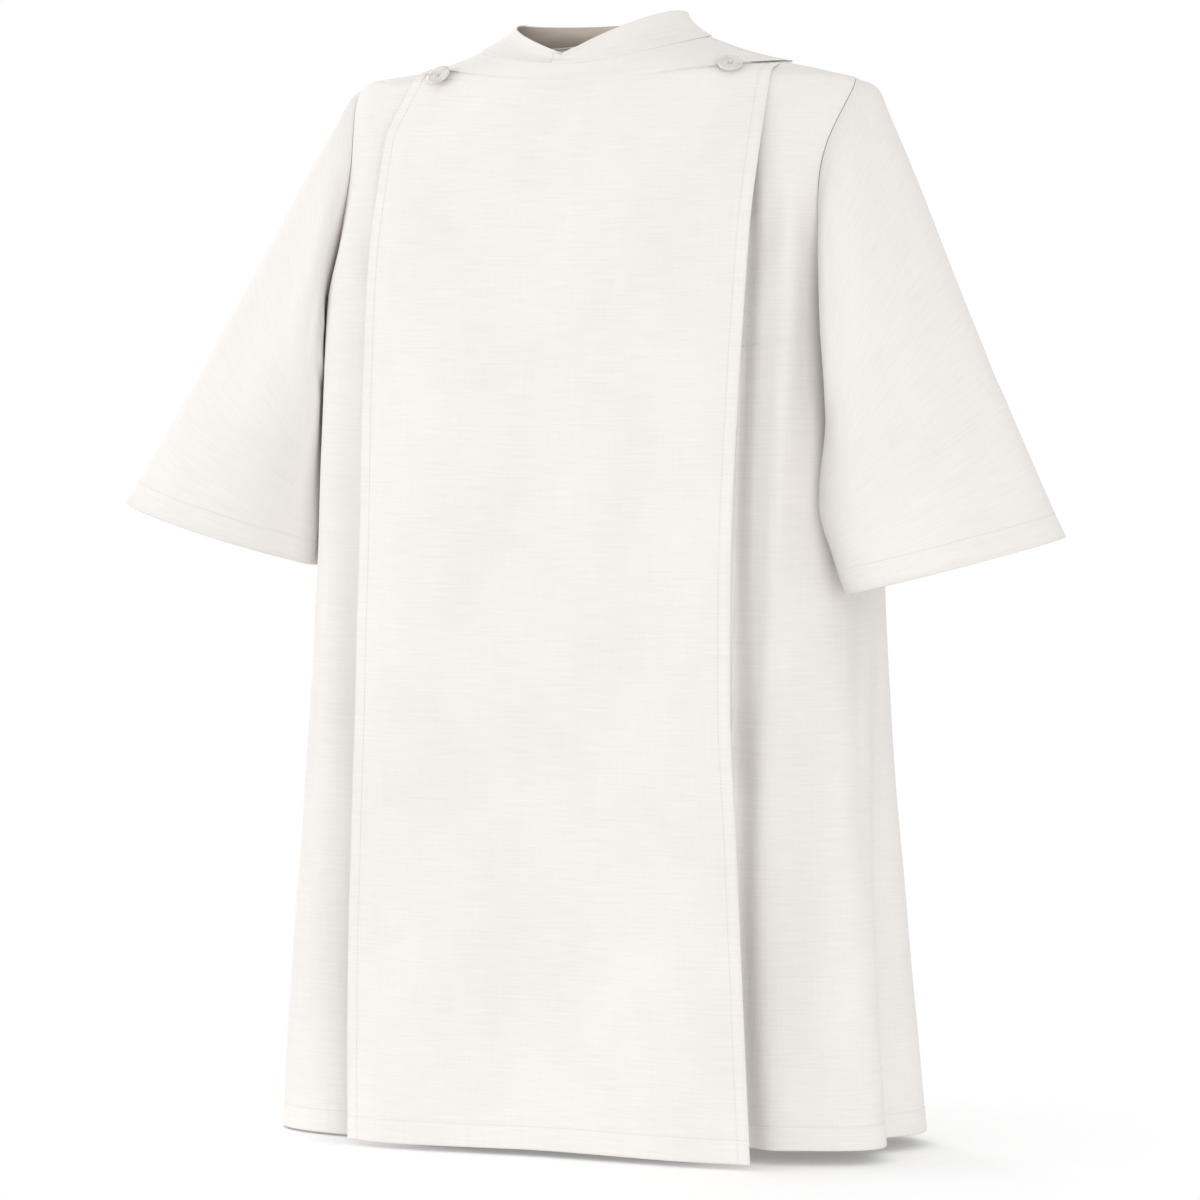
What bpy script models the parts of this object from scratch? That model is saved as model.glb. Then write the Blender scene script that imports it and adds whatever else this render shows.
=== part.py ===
"""A front-wrap alb, hollow as it is worn, modelled at its real size in metres.

The origin is on the neck's axis at the height of the neck seam. +Z is up, -Y is the
garment's front and +X is the wearer's left. Every body piece is cut from one curved
body surface. That surface is a stack of level sections, and a point on it is given by
its bearing (degrees round from the centre front towards the wearer's left) and its
height. The shoulder seam and the side seam both run at a bearing of 90 degrees.
"""

import math

import bmesh
import bpy
import numpy as np
from mathutils import Vector

# Cloth and seams
WALL = 0.002
SEAM_GAP = 0.0003
NORMAL_STEP = 1e-4
SHARP_DEG = 50.0

# Body
HEM_Z = -1.038
HEM_TILT = 0.006
NECK_DIP = 0.022
NECK_DIP_REACH = 0.12
BACK_NECK_RISE = 0.004
NECK_TILT = 0.045
NECK_TILT_REACH = 0.23
NECK_TILT_FADE = 0.10
NECK_STEP_DEG = 4.5
SIDE_FRONT_STEPS = 13
BACK_COLUMNS = 41
SHOULDER_ROWS = 6
SKIRT_ROWS = 9

# Level sections of the body: height, how far the section's middle lies back, half the
# width, depth to the front, depth to the back, and how square the section is (2 = ellipse).
SECTION_COLUMNS = ("z", "middle", "half_width", "front", "back", "square")
SECTIONS = np.array([
    (0.012, -0.008, 0.078, 0.068, 0.052, 2.0),
    (0.000, -0.004, 0.109, 0.078, 0.062, 2.0),
    (-0.010, 0.000, 0.136, 0.086, 0.072, 2.0),
    (-0.019, 0.004, 0.170, 0.094, 0.081, 2.0),
    (-0.027, 0.008, 0.219, 0.100, 0.089, 2.0),
    (-0.034, 0.011, 0.250, 0.104, 0.094, 2.05),
    (-0.046, 0.013, 0.258, 0.109, 0.100, 2.1),
    (-0.065, 0.012, 0.262, 0.115, 0.108, 2.15),
    (-0.095, 0.008, 0.265, 0.1215, 0.118, 2.2),
    (-0.190, 0.000, 0.272, 0.140, 0.135, 2.3),
    (-0.330, -0.008, 0.2775, 0.1487, 0.145, 2.3),
    (-0.470, -0.014, 0.281, 0.1495, 0.152, 2.3),
    (-0.610, -0.018, 0.287, 0.1473, 0.160, 2.3),
    (-0.750, -0.021, 0.295, 0.139, 0.168, 2.3),
    (-0.890, -0.024, 0.305, 0.130, 0.177, 2.3),
    (-1.060, -0.026, 0.320, 0.1165, 0.188, 2.3),
])

# Folds of the skirt: bearing, half of its width, how far it stands out (or in) at the
# hem, and the height where it dies away.
FOLD_COLUMNS = ("bearing", "spread", "out", "top")
FOLDS = np.array([
    (64.0, 7.0, -0.026, -0.10),
    (78.0, 6.0, 0.008, -0.30),
    (92.0, 6.0, -0.030, -0.36),
    (108.0, 9.0, 0.014, -0.30),
    (127.0, 8.0, -0.016, -0.26),
    (145.0, 9.0, 0.012, -0.22),
    (164.0, 8.0, -0.013, -0.30),
    (182.0, 9.0, 0.011, -0.24),
    (201.0, 8.5, -0.015, -0.20),
    (219.0, 9.0, 0.013, -0.28),
    (236.0, 7.5, -0.014, -0.24),
    (253.0, 9.0, 0.014, -0.32),
    (268.0, 6.5, -0.028, -0.38),
    (282.0, 6.0, 0.010, -0.50),
    (297.0, 6.5, -0.022, -0.12),
])

# Armhole: cut out of the body surface round the bearing of 90 (and 270) degrees.
ARMHOLE_TOP_Z = -0.035
ARMHOLE_FOOT_Z = -0.285
ARMHOLE_HALF_DEG = 16.0
ARMHOLE_ROUNDNESS = 0.6
ARMHOLE_ROWS = 14

# Front panel: how far its middle hangs to the side, half its width, and how far it stands
# off the body at its middle and its edges, from the shoulder to the hem. Its columns are
# crowded towards its edges, and its rows are given for the shoulder, chest and skirt.
PANEL_COLUMNS = ("z", "shift", "half_width", "middle_lift", "edge_lift")
PANEL = np.array([
    (0.020, 0.008, 0.178, 0.0038, 0.0040),
    (-0.018, 0.013, 0.178, 0.0042, 0.0047),
    (-0.045, 0.011, 0.183, 0.0044, 0.0056),
    (-0.095, 0.002, 0.187, 0.0049, 0.0100),
    (-0.190, 0.001, 0.186, 0.0060, 0.0170),
    (-0.330, 0.002, 0.182, 0.0080, 0.0230),
    (-0.470, 0.002, 0.179, 0.0100, 0.0270),
    (-0.610, 0.002, 0.180, 0.0110, 0.0300),
    (-0.750, 0.002, 0.186, 0.0110, 0.0310),
    (-0.890, 0.002, 0.192, 0.0110, 0.0320),
    (-1.060, 0.003, 0.198, 0.0110, 0.0330),
])
PANEL_TOP_LIFT = 0.0042
PANEL_DROP = 0.001
PANEL_CROWDING = 1.2
PANEL_COLUMN_COUNT = 25
PANEL_ROWS = (7, 7, 10)
EDGE_HALVINGS = 40

# Sleeves. Each hem ring has an outer and an inner end; all are given for a sleeve on +X.
SLEEVE_COLUMNS = ("outer_x", "outer_y", "outer_z", "inner_x", "inner_y", "inner_z", "half_depth")
SLEEVES = {
    "sleeve_left": (0.479, -0.055, -0.459, 0.284, -0.105, -0.513, 0.072),
    "sleeve_right": (0.484, -0.050, -0.440, 0.284, -0.025, -0.500, 0.062),
}
SLEEVE_SEAM = 0.0009
SLEEVE_CLEAR = 0.012
SLEEVE_CLEAR_REACH = 0.12
SLEEVE_LEAVE_TOP = np.array([0.029, 0.0, -0.006])
SLEEVE_LEAVE_FOOT = np.array([0.006, 0.0, -0.060])
SLEEVE_LEAVE_FRONT = np.array([0.004, -0.062, -0.050])
SLEEVE_LEAVE_BACK = np.array([0.010, 0.018, -0.020])
SLEEVE_ARRIVE_TOP = 0.62
SLEEVE_ARRIVE_FOOT = 0.30
SLEEVE_AROUND = 2 * ARMHOLE_ROWS
SLEEVE_DOWN = 13
SLEEVE_CROWDING = 1.25
SIDE_SEARCH_DEG = (40.0, 140.0)
SIDE_HALVINGS = 24

# Collar
COLLAR_HALF_WIDTH = 0.0834
COLLAR_FRONT = 0.090
COLLAR_BACK = 0.062
COLLAR_SIDE_RISE = 0.026
COLLAR_BACK_RISE = 0.021
COLLAR_NOTCH_Z = -0.012
COLLAR_NOTCH_DEG = -4.0
COLLAR_TILT = 0.062
COLLAR_HOLLOW = 0.004
COLLAR_OVER_STEPS = 2
COLLAR_UNDER_STEPS = 1
COLLAR_OVER_LIFT = 0.0028
COLLAR_LIFT_FADE_DEG = 45.0
COLLAR_ROWS = 5
COLLAR_SEAM = 0.0006
COLLAR_LIFT_TURN = 0.2
COLLAR_FOOT_REACH = 0.3

# Buttons
BUTTON_PLACES = (("button_left", 63.5), ("button_right", -58.0))
BUTTON_LEVEL = -0.0245
BUTTON_LIFT = 0.0009
BUTTON_SIDES = 24
# Radius and height along the button's turned outline, from its back to its dished face.
BUTTON_PROFILE = (
    (0.0102, 0.0000), (0.0118, 0.0008), (0.0121, 0.0018), (0.0116, 0.0028),
    (0.0106, 0.0032), (0.0088, 0.0030), (0.0074, 0.0024),
)

CLOTH_COLOUR = (0.86, 0.83, 0.80, 1.0)
BUTTON_COLOUR = (0.80, 0.78, 0.74, 1.0)


def clear_scene():
    for thing in list(bpy.data.objects):
        bpy.data.objects.remove(thing)


def read_table(table, columns, name, at):
    """One column of a table at these heights, on a smooth curve through its rows."""
    order = np.argsort(table[:, 0])
    knots = table[order, 0]
    values = table[order, columns.index(name)]
    steps = np.diff(knots)
    slopes = np.diff(values) / steps
    tangents = np.zeros_like(values)
    same_way = slopes[1:] * slopes[:-1] > 0
    weights = steps[1:] + 2 * steps[:-1], 2 * steps[1:] + steps[:-1]
    with np.errstate(divide="ignore", invalid="ignore"):
        blended = sum(weights) / (weights[0] / slopes[1:] + weights[1] / slopes[:-1])
    tangents[1:-1] = np.where(same_way, blended, 0.0)
    tangents[0], tangents[-1] = slopes[0], slopes[-1]
    at = np.clip(np.asarray(at, float), knots[0], knots[-1])
    cell = np.clip(np.searchsorted(knots, at) - 1, 0, len(steps) - 1)
    width = steps[cell]
    share = (at - knots[cell]) / width
    rest = 1 - share
    return (
        values[cell] * (1 + 2 * share) * rest**2
        + tangents[cell] * width * share * rest**2
        + values[cell + 1] * (3 - 2 * share) * share**2
        - tangents[cell + 1] * width * rest * share**2
    )


def ease(share):
    """0 to 1 with a soft start and a soft end."""
    share = np.clip(share, 0.0, 1.0)
    return share * share * (3 - 2 * share)


def fold_reach(bearing, z):
    """How far the skirt's folds push the body surface out at this bearing and height."""
    reach = np.zeros(np.broadcast(bearing, z).shape)
    for centre, spread, out, top in FOLDS:
        turn = (np.degrees(bearing) - centre + 180.0) % 360.0 - 180.0
        grown = ease((top - z) / (top - HEM_Z))
        reach = reach + out * grown * np.exp(-((turn / spread) ** 2))
    return reach


def body_surface(bearing, z, folded=True):
    """Points of the body surface at these bearings (radians) and heights."""
    bearing, z = np.broadcast_arrays(np.asarray(bearing, float), np.asarray(z, float))
    middle, half_width, front, back, square = (
        read_table(SECTIONS, SECTION_COLUMNS, name, z) for name in SECTION_COLUMNS[1:]
    )
    sine, cosine = np.sin(bearing), np.cos(bearing)
    depth = np.where(cosine > 0, front, back)
    radius = (
        np.abs(sine / half_width) ** square + np.abs(cosine / depth) ** square
    ) ** (-1 / square)
    if folded:
        radius = radius + fold_reach(bearing, z)
    tilt = NECK_TILT * radius * sine * np.clip(1 - (radius / NECK_TILT_REACH) ** 2, 0, 1)
    fade = ease(1 + z / NECK_TILT_FADE)
    return np.stack([radius * sine, middle - radius * cosine, z + tilt * fade], axis=-1)


def plain_body(bearing, z):
    """Points of the body surface before its skirt is folded."""
    return body_surface(bearing, z, folded=False)


def normals_of(surface, first, second):
    """Outward unit normals of a surface of two parameters, by central differences."""
    along = surface(first + NORMAL_STEP, second) - surface(first - NORMAL_STEP, second)
    up = surface(first, second + NORMAL_STEP) - surface(first, second - NORMAL_STEP)
    normal = np.cross(along, up)
    return normal / np.linalg.norm(normal, axis=-1, keepdims=True)


def neck_height(bearing):
    """Height of the neck seam: it dips at the front and rises a little at the back."""
    ahead, behind = np.clip(np.cos(bearing), 0, None), np.clip(-np.cos(bearing), 0, None)
    return BACK_NECK_RISE * behind - NECK_DIP * ahead**1.5


def row_heights(levels, bearing):
    """Heights of points at these levels: the top ones follow the neck seam, lower ones are level."""
    return levels + neck_height(bearing) * np.clip(1 + levels / NECK_DIP_REACH, 0, 1)


def armhole_half_angle(levels):
    """Half of the armhole's opening at these levels, as a bearing in radians."""
    share = np.clip((ARMHOLE_TOP_Z - levels) / (ARMHOLE_TOP_Z - ARMHOLE_FOOT_Z), 0, 1)
    return math.radians(ARMHOLE_HALF_DEG) * np.sin(math.pi * share) ** ARMHOLE_ROUNDNESS


def armhole_levels(turn):
    """Levels round the armhole, from the shoulder point (0) to its foot (a half turn)."""
    return ARMHOLE_TOP_Z + (ARMHOLE_FOOT_Z - ARMHOLE_TOP_Z) * (1 - np.cos(turn)) / 2


def side_angle(levels):
    """Bearing of the front's outer edge: the shoulder seam, the armhole, then the side seam."""
    radius = np.linalg.norm(body_surface(math.pi / 2, levels)[:, :2], axis=1)
    return math.pi / 2 - armhole_half_angle(levels) - SEAM_GAP / 2 / radius


def wall_mesh(name, outer, inner, closed=False):
    """A closed wall between an outer and an inner grid of points; closed joins its sides."""
    rows, columns = outer.shape[:2]
    mesh = bmesh.new()
    skins = [
        [[mesh.verts.new(point) for point in row] for row in grid]
        for grid in (outer, inner)
    ]
    around = columns if closed else columns - 1
    for j in range(around):
        k = (j + 1) % columns
        for i in range(rows - 1):
            out, into = skins
            mesh.faces.new((out[i][j], out[i + 1][j], out[i + 1][k], out[i][k]))
            mesh.faces.new((into[i][j], into[i][k], into[i + 1][k], into[i + 1][j]))
        for i, flip in ((0, False), (rows - 1, True)):
            rim = (skins[0][i][j], skins[0][i][k], skins[1][i][k], skins[1][i][j])
            mesh.faces.new(rim[::-1] if flip else rim)
    if not closed:
        for i in range(rows - 1):
            for j, flip in ((0, True), (columns - 1, False)):
                rim = (skins[0][i][j], skins[0][i + 1][j], skins[1][i + 1][j], skins[1][i][j])
                mesh.faces.new(rim if flip else rim[::-1])
    bmesh.ops.recalc_face_normals(mesh, faces=mesh.faces)
    data = bpy.data.meshes.new(name)
    mesh.to_mesh(data)
    mesh.free()
    if volume_of(data) < 0:
        data.flip_normals()
    data.shade_smooth()
    data.set_sharp_from_angle(angle=math.radians(SHARP_DEG))
    return data


def volume_of(data):
    data.calc_loop_triangles()
    total = 0.0
    for triangle in data.loop_triangles:
        a, b, c = (data.vertices[i].co for i in triangle.vertices)
        total += a.dot(b.cross(c))
    return total / 6


def material(name, colour, roughness):
    made = bpy.data.materials.new(name)
    made.use_nodes = True
    shader = made.node_tree.nodes["Principled BSDF"]
    shader.inputs["Base Color"].default_value = colour
    shader.inputs["Roughness"].default_value = roughness
    shader.inputs["Metallic"].default_value = 0.0
    return made


def add_object(name, data, finish):
    piece = bpy.data.objects.new(name, data)
    piece.data.materials.append(finish)
    bpy.context.scene.collection.objects.link(piece)
    return piece


def body_levels(shoulder_rows, armhole_rows, skirt_rows):
    """Levels of a body piece's rows, from the neck seam to the hem: close at the shoulder."""
    shoulder = np.linspace(0.0, ARMHOLE_TOP_Z, shoulder_rows, endpoint=False)
    armhole = armhole_levels(np.linspace(0, math.pi, armhole_rows, endpoint=False))
    skirt = np.linspace(ARMHOLE_FOOT_Z, HEM_Z, skirt_rows)
    return np.concatenate([shoulder, armhole, skirt])


def body_piece(name, levels, low, high, columns, finish):
    """A piece of the body between two edges, given as bearings for each level."""
    share = np.linspace(0, 1, columns)
    bearing = low[:, None] + (high - low)[:, None] * share
    lower = ease(2 * levels[:, None] / HEM_Z - 1)
    z = row_heights(levels[:, None], bearing) + HEM_TILT * np.sin(bearing) * lower
    outer = body_surface(bearing, z)
    normal = normals_of(body_surface, bearing, z)
    return add_object(name, wall_mesh(name, outer, outer - WALL * normal), finish)


def add_back(finish):
    levels = body_levels(SHOULDER_ROWS, ARMHOLE_ROWS, SKIRT_ROWS)
    edge = side_angle(levels)
    body_piece("back", levels, math.pi - edge, math.pi + edge, BACK_COLUMNS, finish)


def add_side_fronts(finish):
    levels = body_levels(SHOULDER_ROWS, ARMHOLE_ROWS, SKIRT_ROWS)
    inner_edge = np.full(len(levels), math.radians(90.0 - SIDE_FRONT_STEPS * NECK_STEP_DEG))
    edge = side_angle(levels)
    body_piece("side_front_left", levels, inner_edge, edge, SIDE_FRONT_STEPS + 1, finish)
    body_piece("side_front_right", levels, -edge, -inner_edge, SIDE_FRONT_STEPS + 1, finish)


def panel_edge_angle(levels, side):
    """Bearing of one side edge of the panel at each level, found by halving."""
    shift, half_width = (
        read_table(PANEL, PANEL_COLUMNS, name, levels) for name in ("shift", "half_width")
    )
    reach = half_width + side * shift
    low, high = np.zeros(len(levels)), np.full(len(levels), math.pi / 2)
    for _ in range(EDGE_HALVINGS):
        middle = (low + high) / 2
        z = row_heights(levels, middle)
        past = plain_body(middle, z)[:, 0] > reach
        low, high = np.where(past, low, middle), np.where(past, middle, high)
    return side * np.minimum(high, math.pi / 2 - SEAM_GAP / 2 / reach)


def add_front_panel(finish):
    levels = body_levels(*PANEL_ROWS)
    levels[-1] = HEM_Z - PANEL_DROP
    right, left = (panel_edge_angle(levels, side)[:, None] for side in (-1, 1))
    even = np.linspace(-1, 1, PANEL_COLUMN_COUNT)
    share = np.sin(even * PANEL_CROWDING) / math.sin(PANEL_CROWDING)
    bearing = right + (left - right) * (1 + share) / 2
    z = row_heights(levels[:, None], bearing)
    middle_lift, edge_lift = (
        read_table(PANEL, PANEL_COLUMNS, name, levels)[:, None]
        for name in ("middle_lift", "edge_lift")
    )
    lift = middle_lift + (edge_lift - middle_lift) * share**2
    base = plain_body(bearing, z)
    normal = normals_of(plain_body, bearing, z)
    outer = base + normal * lift[..., None]
    add_object("front_panel", wall_mesh("front_panel", outer, outer - WALL * normal), finish)


def armhole_ring(turn):
    """Points round the left armhole, from the shoulder point forwards."""
    levels = armhole_levels(turn)
    bearing = math.pi / 2 - armhole_half_angle(levels) * np.sign(np.round(np.sin(turn), 6))
    return body_surface(bearing, row_heights(levels, bearing))


def body_side(y, z):
    """How far out the body surface lies on the wearer's left at these depths and heights."""
    low, high = (np.full(np.shape(z), math.radians(turn)) for turn in SIDE_SEARCH_DEG)
    for _ in range(SIDE_HALVINGS):
        middle = (low + high) / 2
        behind = body_surface(middle, z)[..., 1] > y
        low, high = np.where(behind, low, middle), np.where(behind, middle, high)
    return body_surface((low + high) / 2, z)[..., 0]


def sleeve_surface(turn, down, row):
    """A point of the left sleeve: turn goes round from its top forwards, down to the hem."""
    outer_end = np.array([row["outer_x"], row["outer_y"], row["outer_z"]])
    inner_end = np.array([row["inner_x"], row["inner_y"], row["inner_z"]])
    centre = (outer_end + inner_end) / 2
    across = (outer_end - inner_end) / 2
    ahead = np.array([across[1], -across[0], 0.0])
    ahead *= row["half_depth"] / np.linalg.norm(ahead)
    cosine, sine = np.cos(turn)[..., None], np.sin(turn)[..., None]
    hem = centre + across * cosine + ahead * sine
    start = armhole_ring(turn) + np.array([SLEEVE_SEAM, 0.0, 0.0])
    top = (1 + cosine) / 2
    leave = SLEEVE_LEAVE_TOP * top + SLEEVE_LEAVE_FOOT * (1 - top)
    leave = leave + SLEEVE_LEAVE_FRONT * np.clip(sine, 0, 1) + SLEEVE_LEAVE_BACK * np.clip(-sine, 0, 1)
    slope = outer_end - armhole_ring(np.zeros(1))[0]
    arrive = slope * (SLEEVE_ARRIVE_TOP * top + SLEEVE_ARRIVE_FOOT * (1 - top))
    fall = down[..., None]
    rest = 1 - fall
    point = (
        start * rest**3
        + 3 * (start + leave) * rest**2 * fall
        + 3 * (hem - arrive) * rest * fall**2
        + hem * fall**3
    )
    clear = SLEEVE_SEAM + SLEEVE_CLEAR * ease(down / SLEEVE_CLEAR_REACH)
    least = body_side(point[..., 1], point[..., 2]) + clear
    point[..., 0] = np.maximum(point[..., 0], least)
    return point


def add_sleeves(finish):
    turn = np.arange(SLEEVE_AROUND) * 2 * math.pi / SLEEVE_AROUND
    turn = turn[None, :] + np.zeros((SLEEVE_DOWN, 1))
    fall = np.linspace(0, 1, SLEEVE_DOWN)[:, None] ** SLEEVE_CROWDING
    fall = fall + np.zeros((1, SLEEVE_AROUND))
    for name, numbers in SLEEVES.items():
        row = dict(zip(SLEEVE_COLUMNS, numbers))

        def surface(first, second):
            return sleeve_surface(first, second, row)

        outer = surface(turn, fall)
        normal = -normals_of(surface, turn, np.clip(fall, 2 * NORMAL_STEP, 1.0))
        normal[..., 0] *= ease(fall / SLEEVE_CLEAR_REACH)
        normal /= np.linalg.norm(normal, axis=-1, keepdims=True)
        side = np.array([1.0 if name.endswith("left") else -1.0, 1.0, 1.0])
        skins = outer * side, (outer - WALL * normal) * side
        add_object(name, wall_mesh(name, *skins, closed=True), finish)


def collar_rim(bearing):
    """The collar's upper edge: it drops in straight lines to a notch at the front."""
    sine, cosine = np.sin(bearing), np.cos(bearing)
    depth = np.where(cosine > 0, COLLAR_FRONT, COLLAR_BACK)
    radius = ((sine / COLLAR_HALF_WIDTH) ** 2 + (cosine / depth) ** 2) ** -0.5
    notch = np.abs(np.sin(bearing - math.radians(COLLAR_NOTCH_DEG)))
    front = COLLAR_NOTCH_Z + (COLLAR_SIDE_RISE - COLLAR_NOTCH_Z) * notch
    back = COLLAR_SIDE_RISE + (COLLAR_BACK_RISE - COLLAR_SIDE_RISE) * np.abs(cosine)
    height = np.where(cosine > 0, front, back) + COLLAR_TILT * radius * sine
    return np.stack([radius * sine, -radius * cosine, height], axis=-1)


def collar_surface(bearing, up):
    """A point of the collar: up goes from the neck seam to the rim."""
    z = neck_height(bearing)
    lift = PANEL_TOP_LIFT * ease((np.cos(bearing) + COLLAR_LIFT_TURN) / COLLAR_LIFT_TURN)
    base = plain_body(bearing, z) + normals_of(plain_body, bearing, z) * lift[..., None]
    base = base + np.array([0.0, 0.0, COLLAR_SEAM])
    rim = collar_rim(bearing)
    up = np.asarray(up)[..., None]
    inward = np.stack([-np.sin(bearing), np.cos(bearing), 0 * bearing], axis=-1)
    return base * (1 - up) + rim * up + inward * COLLAR_HOLLOW * 4 * up * (1 - up)


def add_collar(finish):
    whole_turn = round(360 / NECK_STEP_DEG)
    step = np.arange(-COLLAR_OVER_STEPS, whole_turn + COLLAR_UNDER_STEPS + 1)
    bearing, up = np.meshgrid(np.radians(step * NECK_STEP_DEG), np.linspace(1, 0, COLLAR_ROWS))
    past_end = np.degrees(bearing) + COLLAR_OVER_STEPS * NECK_STEP_DEG
    lift = COLLAR_OVER_LIFT * (1 - ease(past_end / COLLAR_LIFT_FADE_DEG))
    normal = normals_of(collar_surface, bearing, up)
    outer = collar_surface(bearing, up) + normal * lift[..., None]
    normal[..., 2] *= ease(up / COLLAR_FOOT_REACH)
    normal /= np.linalg.norm(normal, axis=-1, keepdims=True)
    add_object("collar", wall_mesh("collar", outer, outer - WALL * normal), finish)


def add_buttons(finish):
    for name, degrees in BUTTON_PLACES:
        bearing = np.radians([degrees])
        z = row_heights(np.array([BUTTON_LEVEL]), bearing)
        up = Vector(normals_of(plain_body, bearing, z)[0])
        foot = Vector(plain_body(bearing, z)[0]) + up * (PANEL_TOP_LIFT + BUTTON_LIFT)
        mesh = bmesh.new()
        turned = []
        for radius, height in BUTTON_PROFILE:
            ring = [
                mesh.verts.new((
                    radius * math.cos(k * 2 * math.pi / BUTTON_SIDES),
                    radius * math.sin(k * 2 * math.pi / BUTTON_SIDES),
                    height,
                ))
                for k in range(BUTTON_SIDES)
            ]
            turned.append(ring)
        for low, high in zip(turned, turned[1:]):
            for k in range(BUTTON_SIDES):
                m = (k + 1) % BUTTON_SIDES
                mesh.faces.new((low[k], low[m], high[m], high[k]))
        mesh.faces.new(turned[0][::-1])
        mesh.faces.new(turned[-1])
        data = bpy.data.meshes.new(name)
        mesh.to_mesh(data)
        mesh.free()
        data.shade_smooth()
        data.set_sharp_from_angle(angle=math.radians(SHARP_DEG))
        piece = add_object(name, data, finish)
        piece.location = foot
        piece.rotation_euler = up.to_track_quat("Z", "Y").to_euler()


def main():
    clear_scene()
    cloth = material("cloth", CLOTH_COLOUR, 0.85)
    shell = material("button", BUTTON_COLOUR, 0.4)
    add_back(cloth)
    add_side_fronts(cloth)
    add_front_panel(cloth)
    add_sleeves(cloth)
    add_collar(cloth)
    add_buttons(shell)


main()
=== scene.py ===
"""Looks of a front-wrap alb, hollow as it is worn: slubbed off-white cloth with turned and
stitched hems, seams turned inwards, a crossed standing collar and two sewn-on buttons.

Everything is in metres. The origin is on the neck's axis at the height of the neck seam,
+Z is up, -Y is the garment's front and +X is the wearer's left. Each cut piece of cloth is
a thin shell: a grid of points on the form that the piece hangs in, given soft creases, a
wall, turned edges and flat-pattern coordinates that carry its weave.

A bearing is the angle round the neck's axis from the centre front towards the wearer's
left. A level is a height before the neck seam's dip is added to it.
"""

import logging
import math
from collections.abc import Callable
from dataclasses import dataclass, field
from enum import Enum

import bpy  # noqa: E402
import numpy as np  # noqa: E402
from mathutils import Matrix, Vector  # noqa: E402

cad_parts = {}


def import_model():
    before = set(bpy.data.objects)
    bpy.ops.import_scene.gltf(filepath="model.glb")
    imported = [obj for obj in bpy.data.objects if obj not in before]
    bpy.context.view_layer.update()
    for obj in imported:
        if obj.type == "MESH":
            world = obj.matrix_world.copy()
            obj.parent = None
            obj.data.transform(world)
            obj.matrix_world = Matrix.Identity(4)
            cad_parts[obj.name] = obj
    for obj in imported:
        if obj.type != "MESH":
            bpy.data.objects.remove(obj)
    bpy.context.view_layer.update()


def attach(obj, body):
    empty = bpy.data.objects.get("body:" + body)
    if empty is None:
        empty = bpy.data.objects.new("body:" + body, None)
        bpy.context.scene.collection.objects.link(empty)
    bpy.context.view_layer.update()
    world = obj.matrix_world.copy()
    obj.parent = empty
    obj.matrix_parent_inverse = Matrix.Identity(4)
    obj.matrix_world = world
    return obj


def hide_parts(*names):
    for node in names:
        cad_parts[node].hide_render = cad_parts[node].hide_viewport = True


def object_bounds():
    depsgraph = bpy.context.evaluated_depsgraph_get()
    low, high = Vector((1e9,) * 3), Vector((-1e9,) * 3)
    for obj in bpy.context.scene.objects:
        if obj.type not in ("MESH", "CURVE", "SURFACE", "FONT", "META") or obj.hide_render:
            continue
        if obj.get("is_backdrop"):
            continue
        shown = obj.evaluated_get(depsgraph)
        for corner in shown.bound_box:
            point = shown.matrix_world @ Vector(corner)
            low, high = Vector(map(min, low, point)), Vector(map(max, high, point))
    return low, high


LOG = logging.getLogger("alb")
Array = np.ndarray
Triple = tuple[float, float, float]
Object, Material = bpy.types.Object, bpy.types.Material
Node, Socket = bpy.types.Node, bpy.types.NodeSocket
BODY = "root"


class Slot(Enum):
    """The record's material slots."""

    CLOTH = "cloth"
    BUTTON = "button"


class Side(Enum):
    """A side of the wearer, with the sign of its X."""

    LEFT = 1
    RIGHT = -1


class Border(Enum):
    """A border of a grid of points: the axis that crosses it, and its place on that axis."""

    TOP = (0, 0)
    FOOT = (0, -1)
    START = (1, 0)
    END = (1, -1)


# ---- Small tools ----


def ease(share: Array | float) -> Array:
    """Soft step: 3s^2 - 2s^3 of a share s held between 0 and 1."""
    held = np.clip(share, 0.0, 1.0)
    return held * held * (3 - 2 * held)


def unit(vectors: Array) -> Array:
    """The vectors made one metre long; a vector of no length stays as it is."""
    return vectors / np.maximum(np.linalg.norm(vectors, axis=-1, keepdims=True), 1e-12)


def running_length(points: Array, axis: int) -> Array:
    """Distance walked along one axis of a grid of points, from 0 at its first point.

    Args:
        points: the grid, with x, y and z last.
        axis: 0 to walk down the columns, 1 to walk across the rows.

    Returns:
        One distance for each point of the grid.
    """
    steps = np.linalg.norm(np.diff(points, axis=axis), axis=-1)
    pad = [(0, 0), (0, 0)]
    pad[axis] = (1, 0)
    return np.pad(np.cumsum(steps, axis=axis), pad)


def graded(start: float, end: float, count: int, fine: float, fine_count: int) -> Array:
    """Even values from start to end, with a finer stretch before the end.

    Args:
        start: the first value.
        end: the last value.
        count: how many values the even stretch has.
        fine: how long the finer stretch is.
        fine_count: how many more values the finer stretch adds.

    Returns:
        The values in order, both ends included.
    """
    turn = end - math.copysign(fine, end - start)
    even = np.linspace(start, turn, count)
    return np.concatenate([even, np.linspace(turn, end, fine_count + 1)[1:]])


def halved(
    low: Array, high: Array, past: Callable[[Array], Array], steps: int
) -> tuple[Array, Array]:
    """Closes in by halving on the places where a test turns true.

    Args:
        low: places where the test is false.
        high: places where it is true.
        past: the test.
        steps: how often the stretch between them is halved.

    Returns:
        The last places before and after the turn.
    """
    for _ in range(steps):
        middle = (low + high) / 2
        beyond = past(middle)
        low, high = np.where(beyond, low, middle), np.where(beyond, middle, high)
    return low, high


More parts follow.
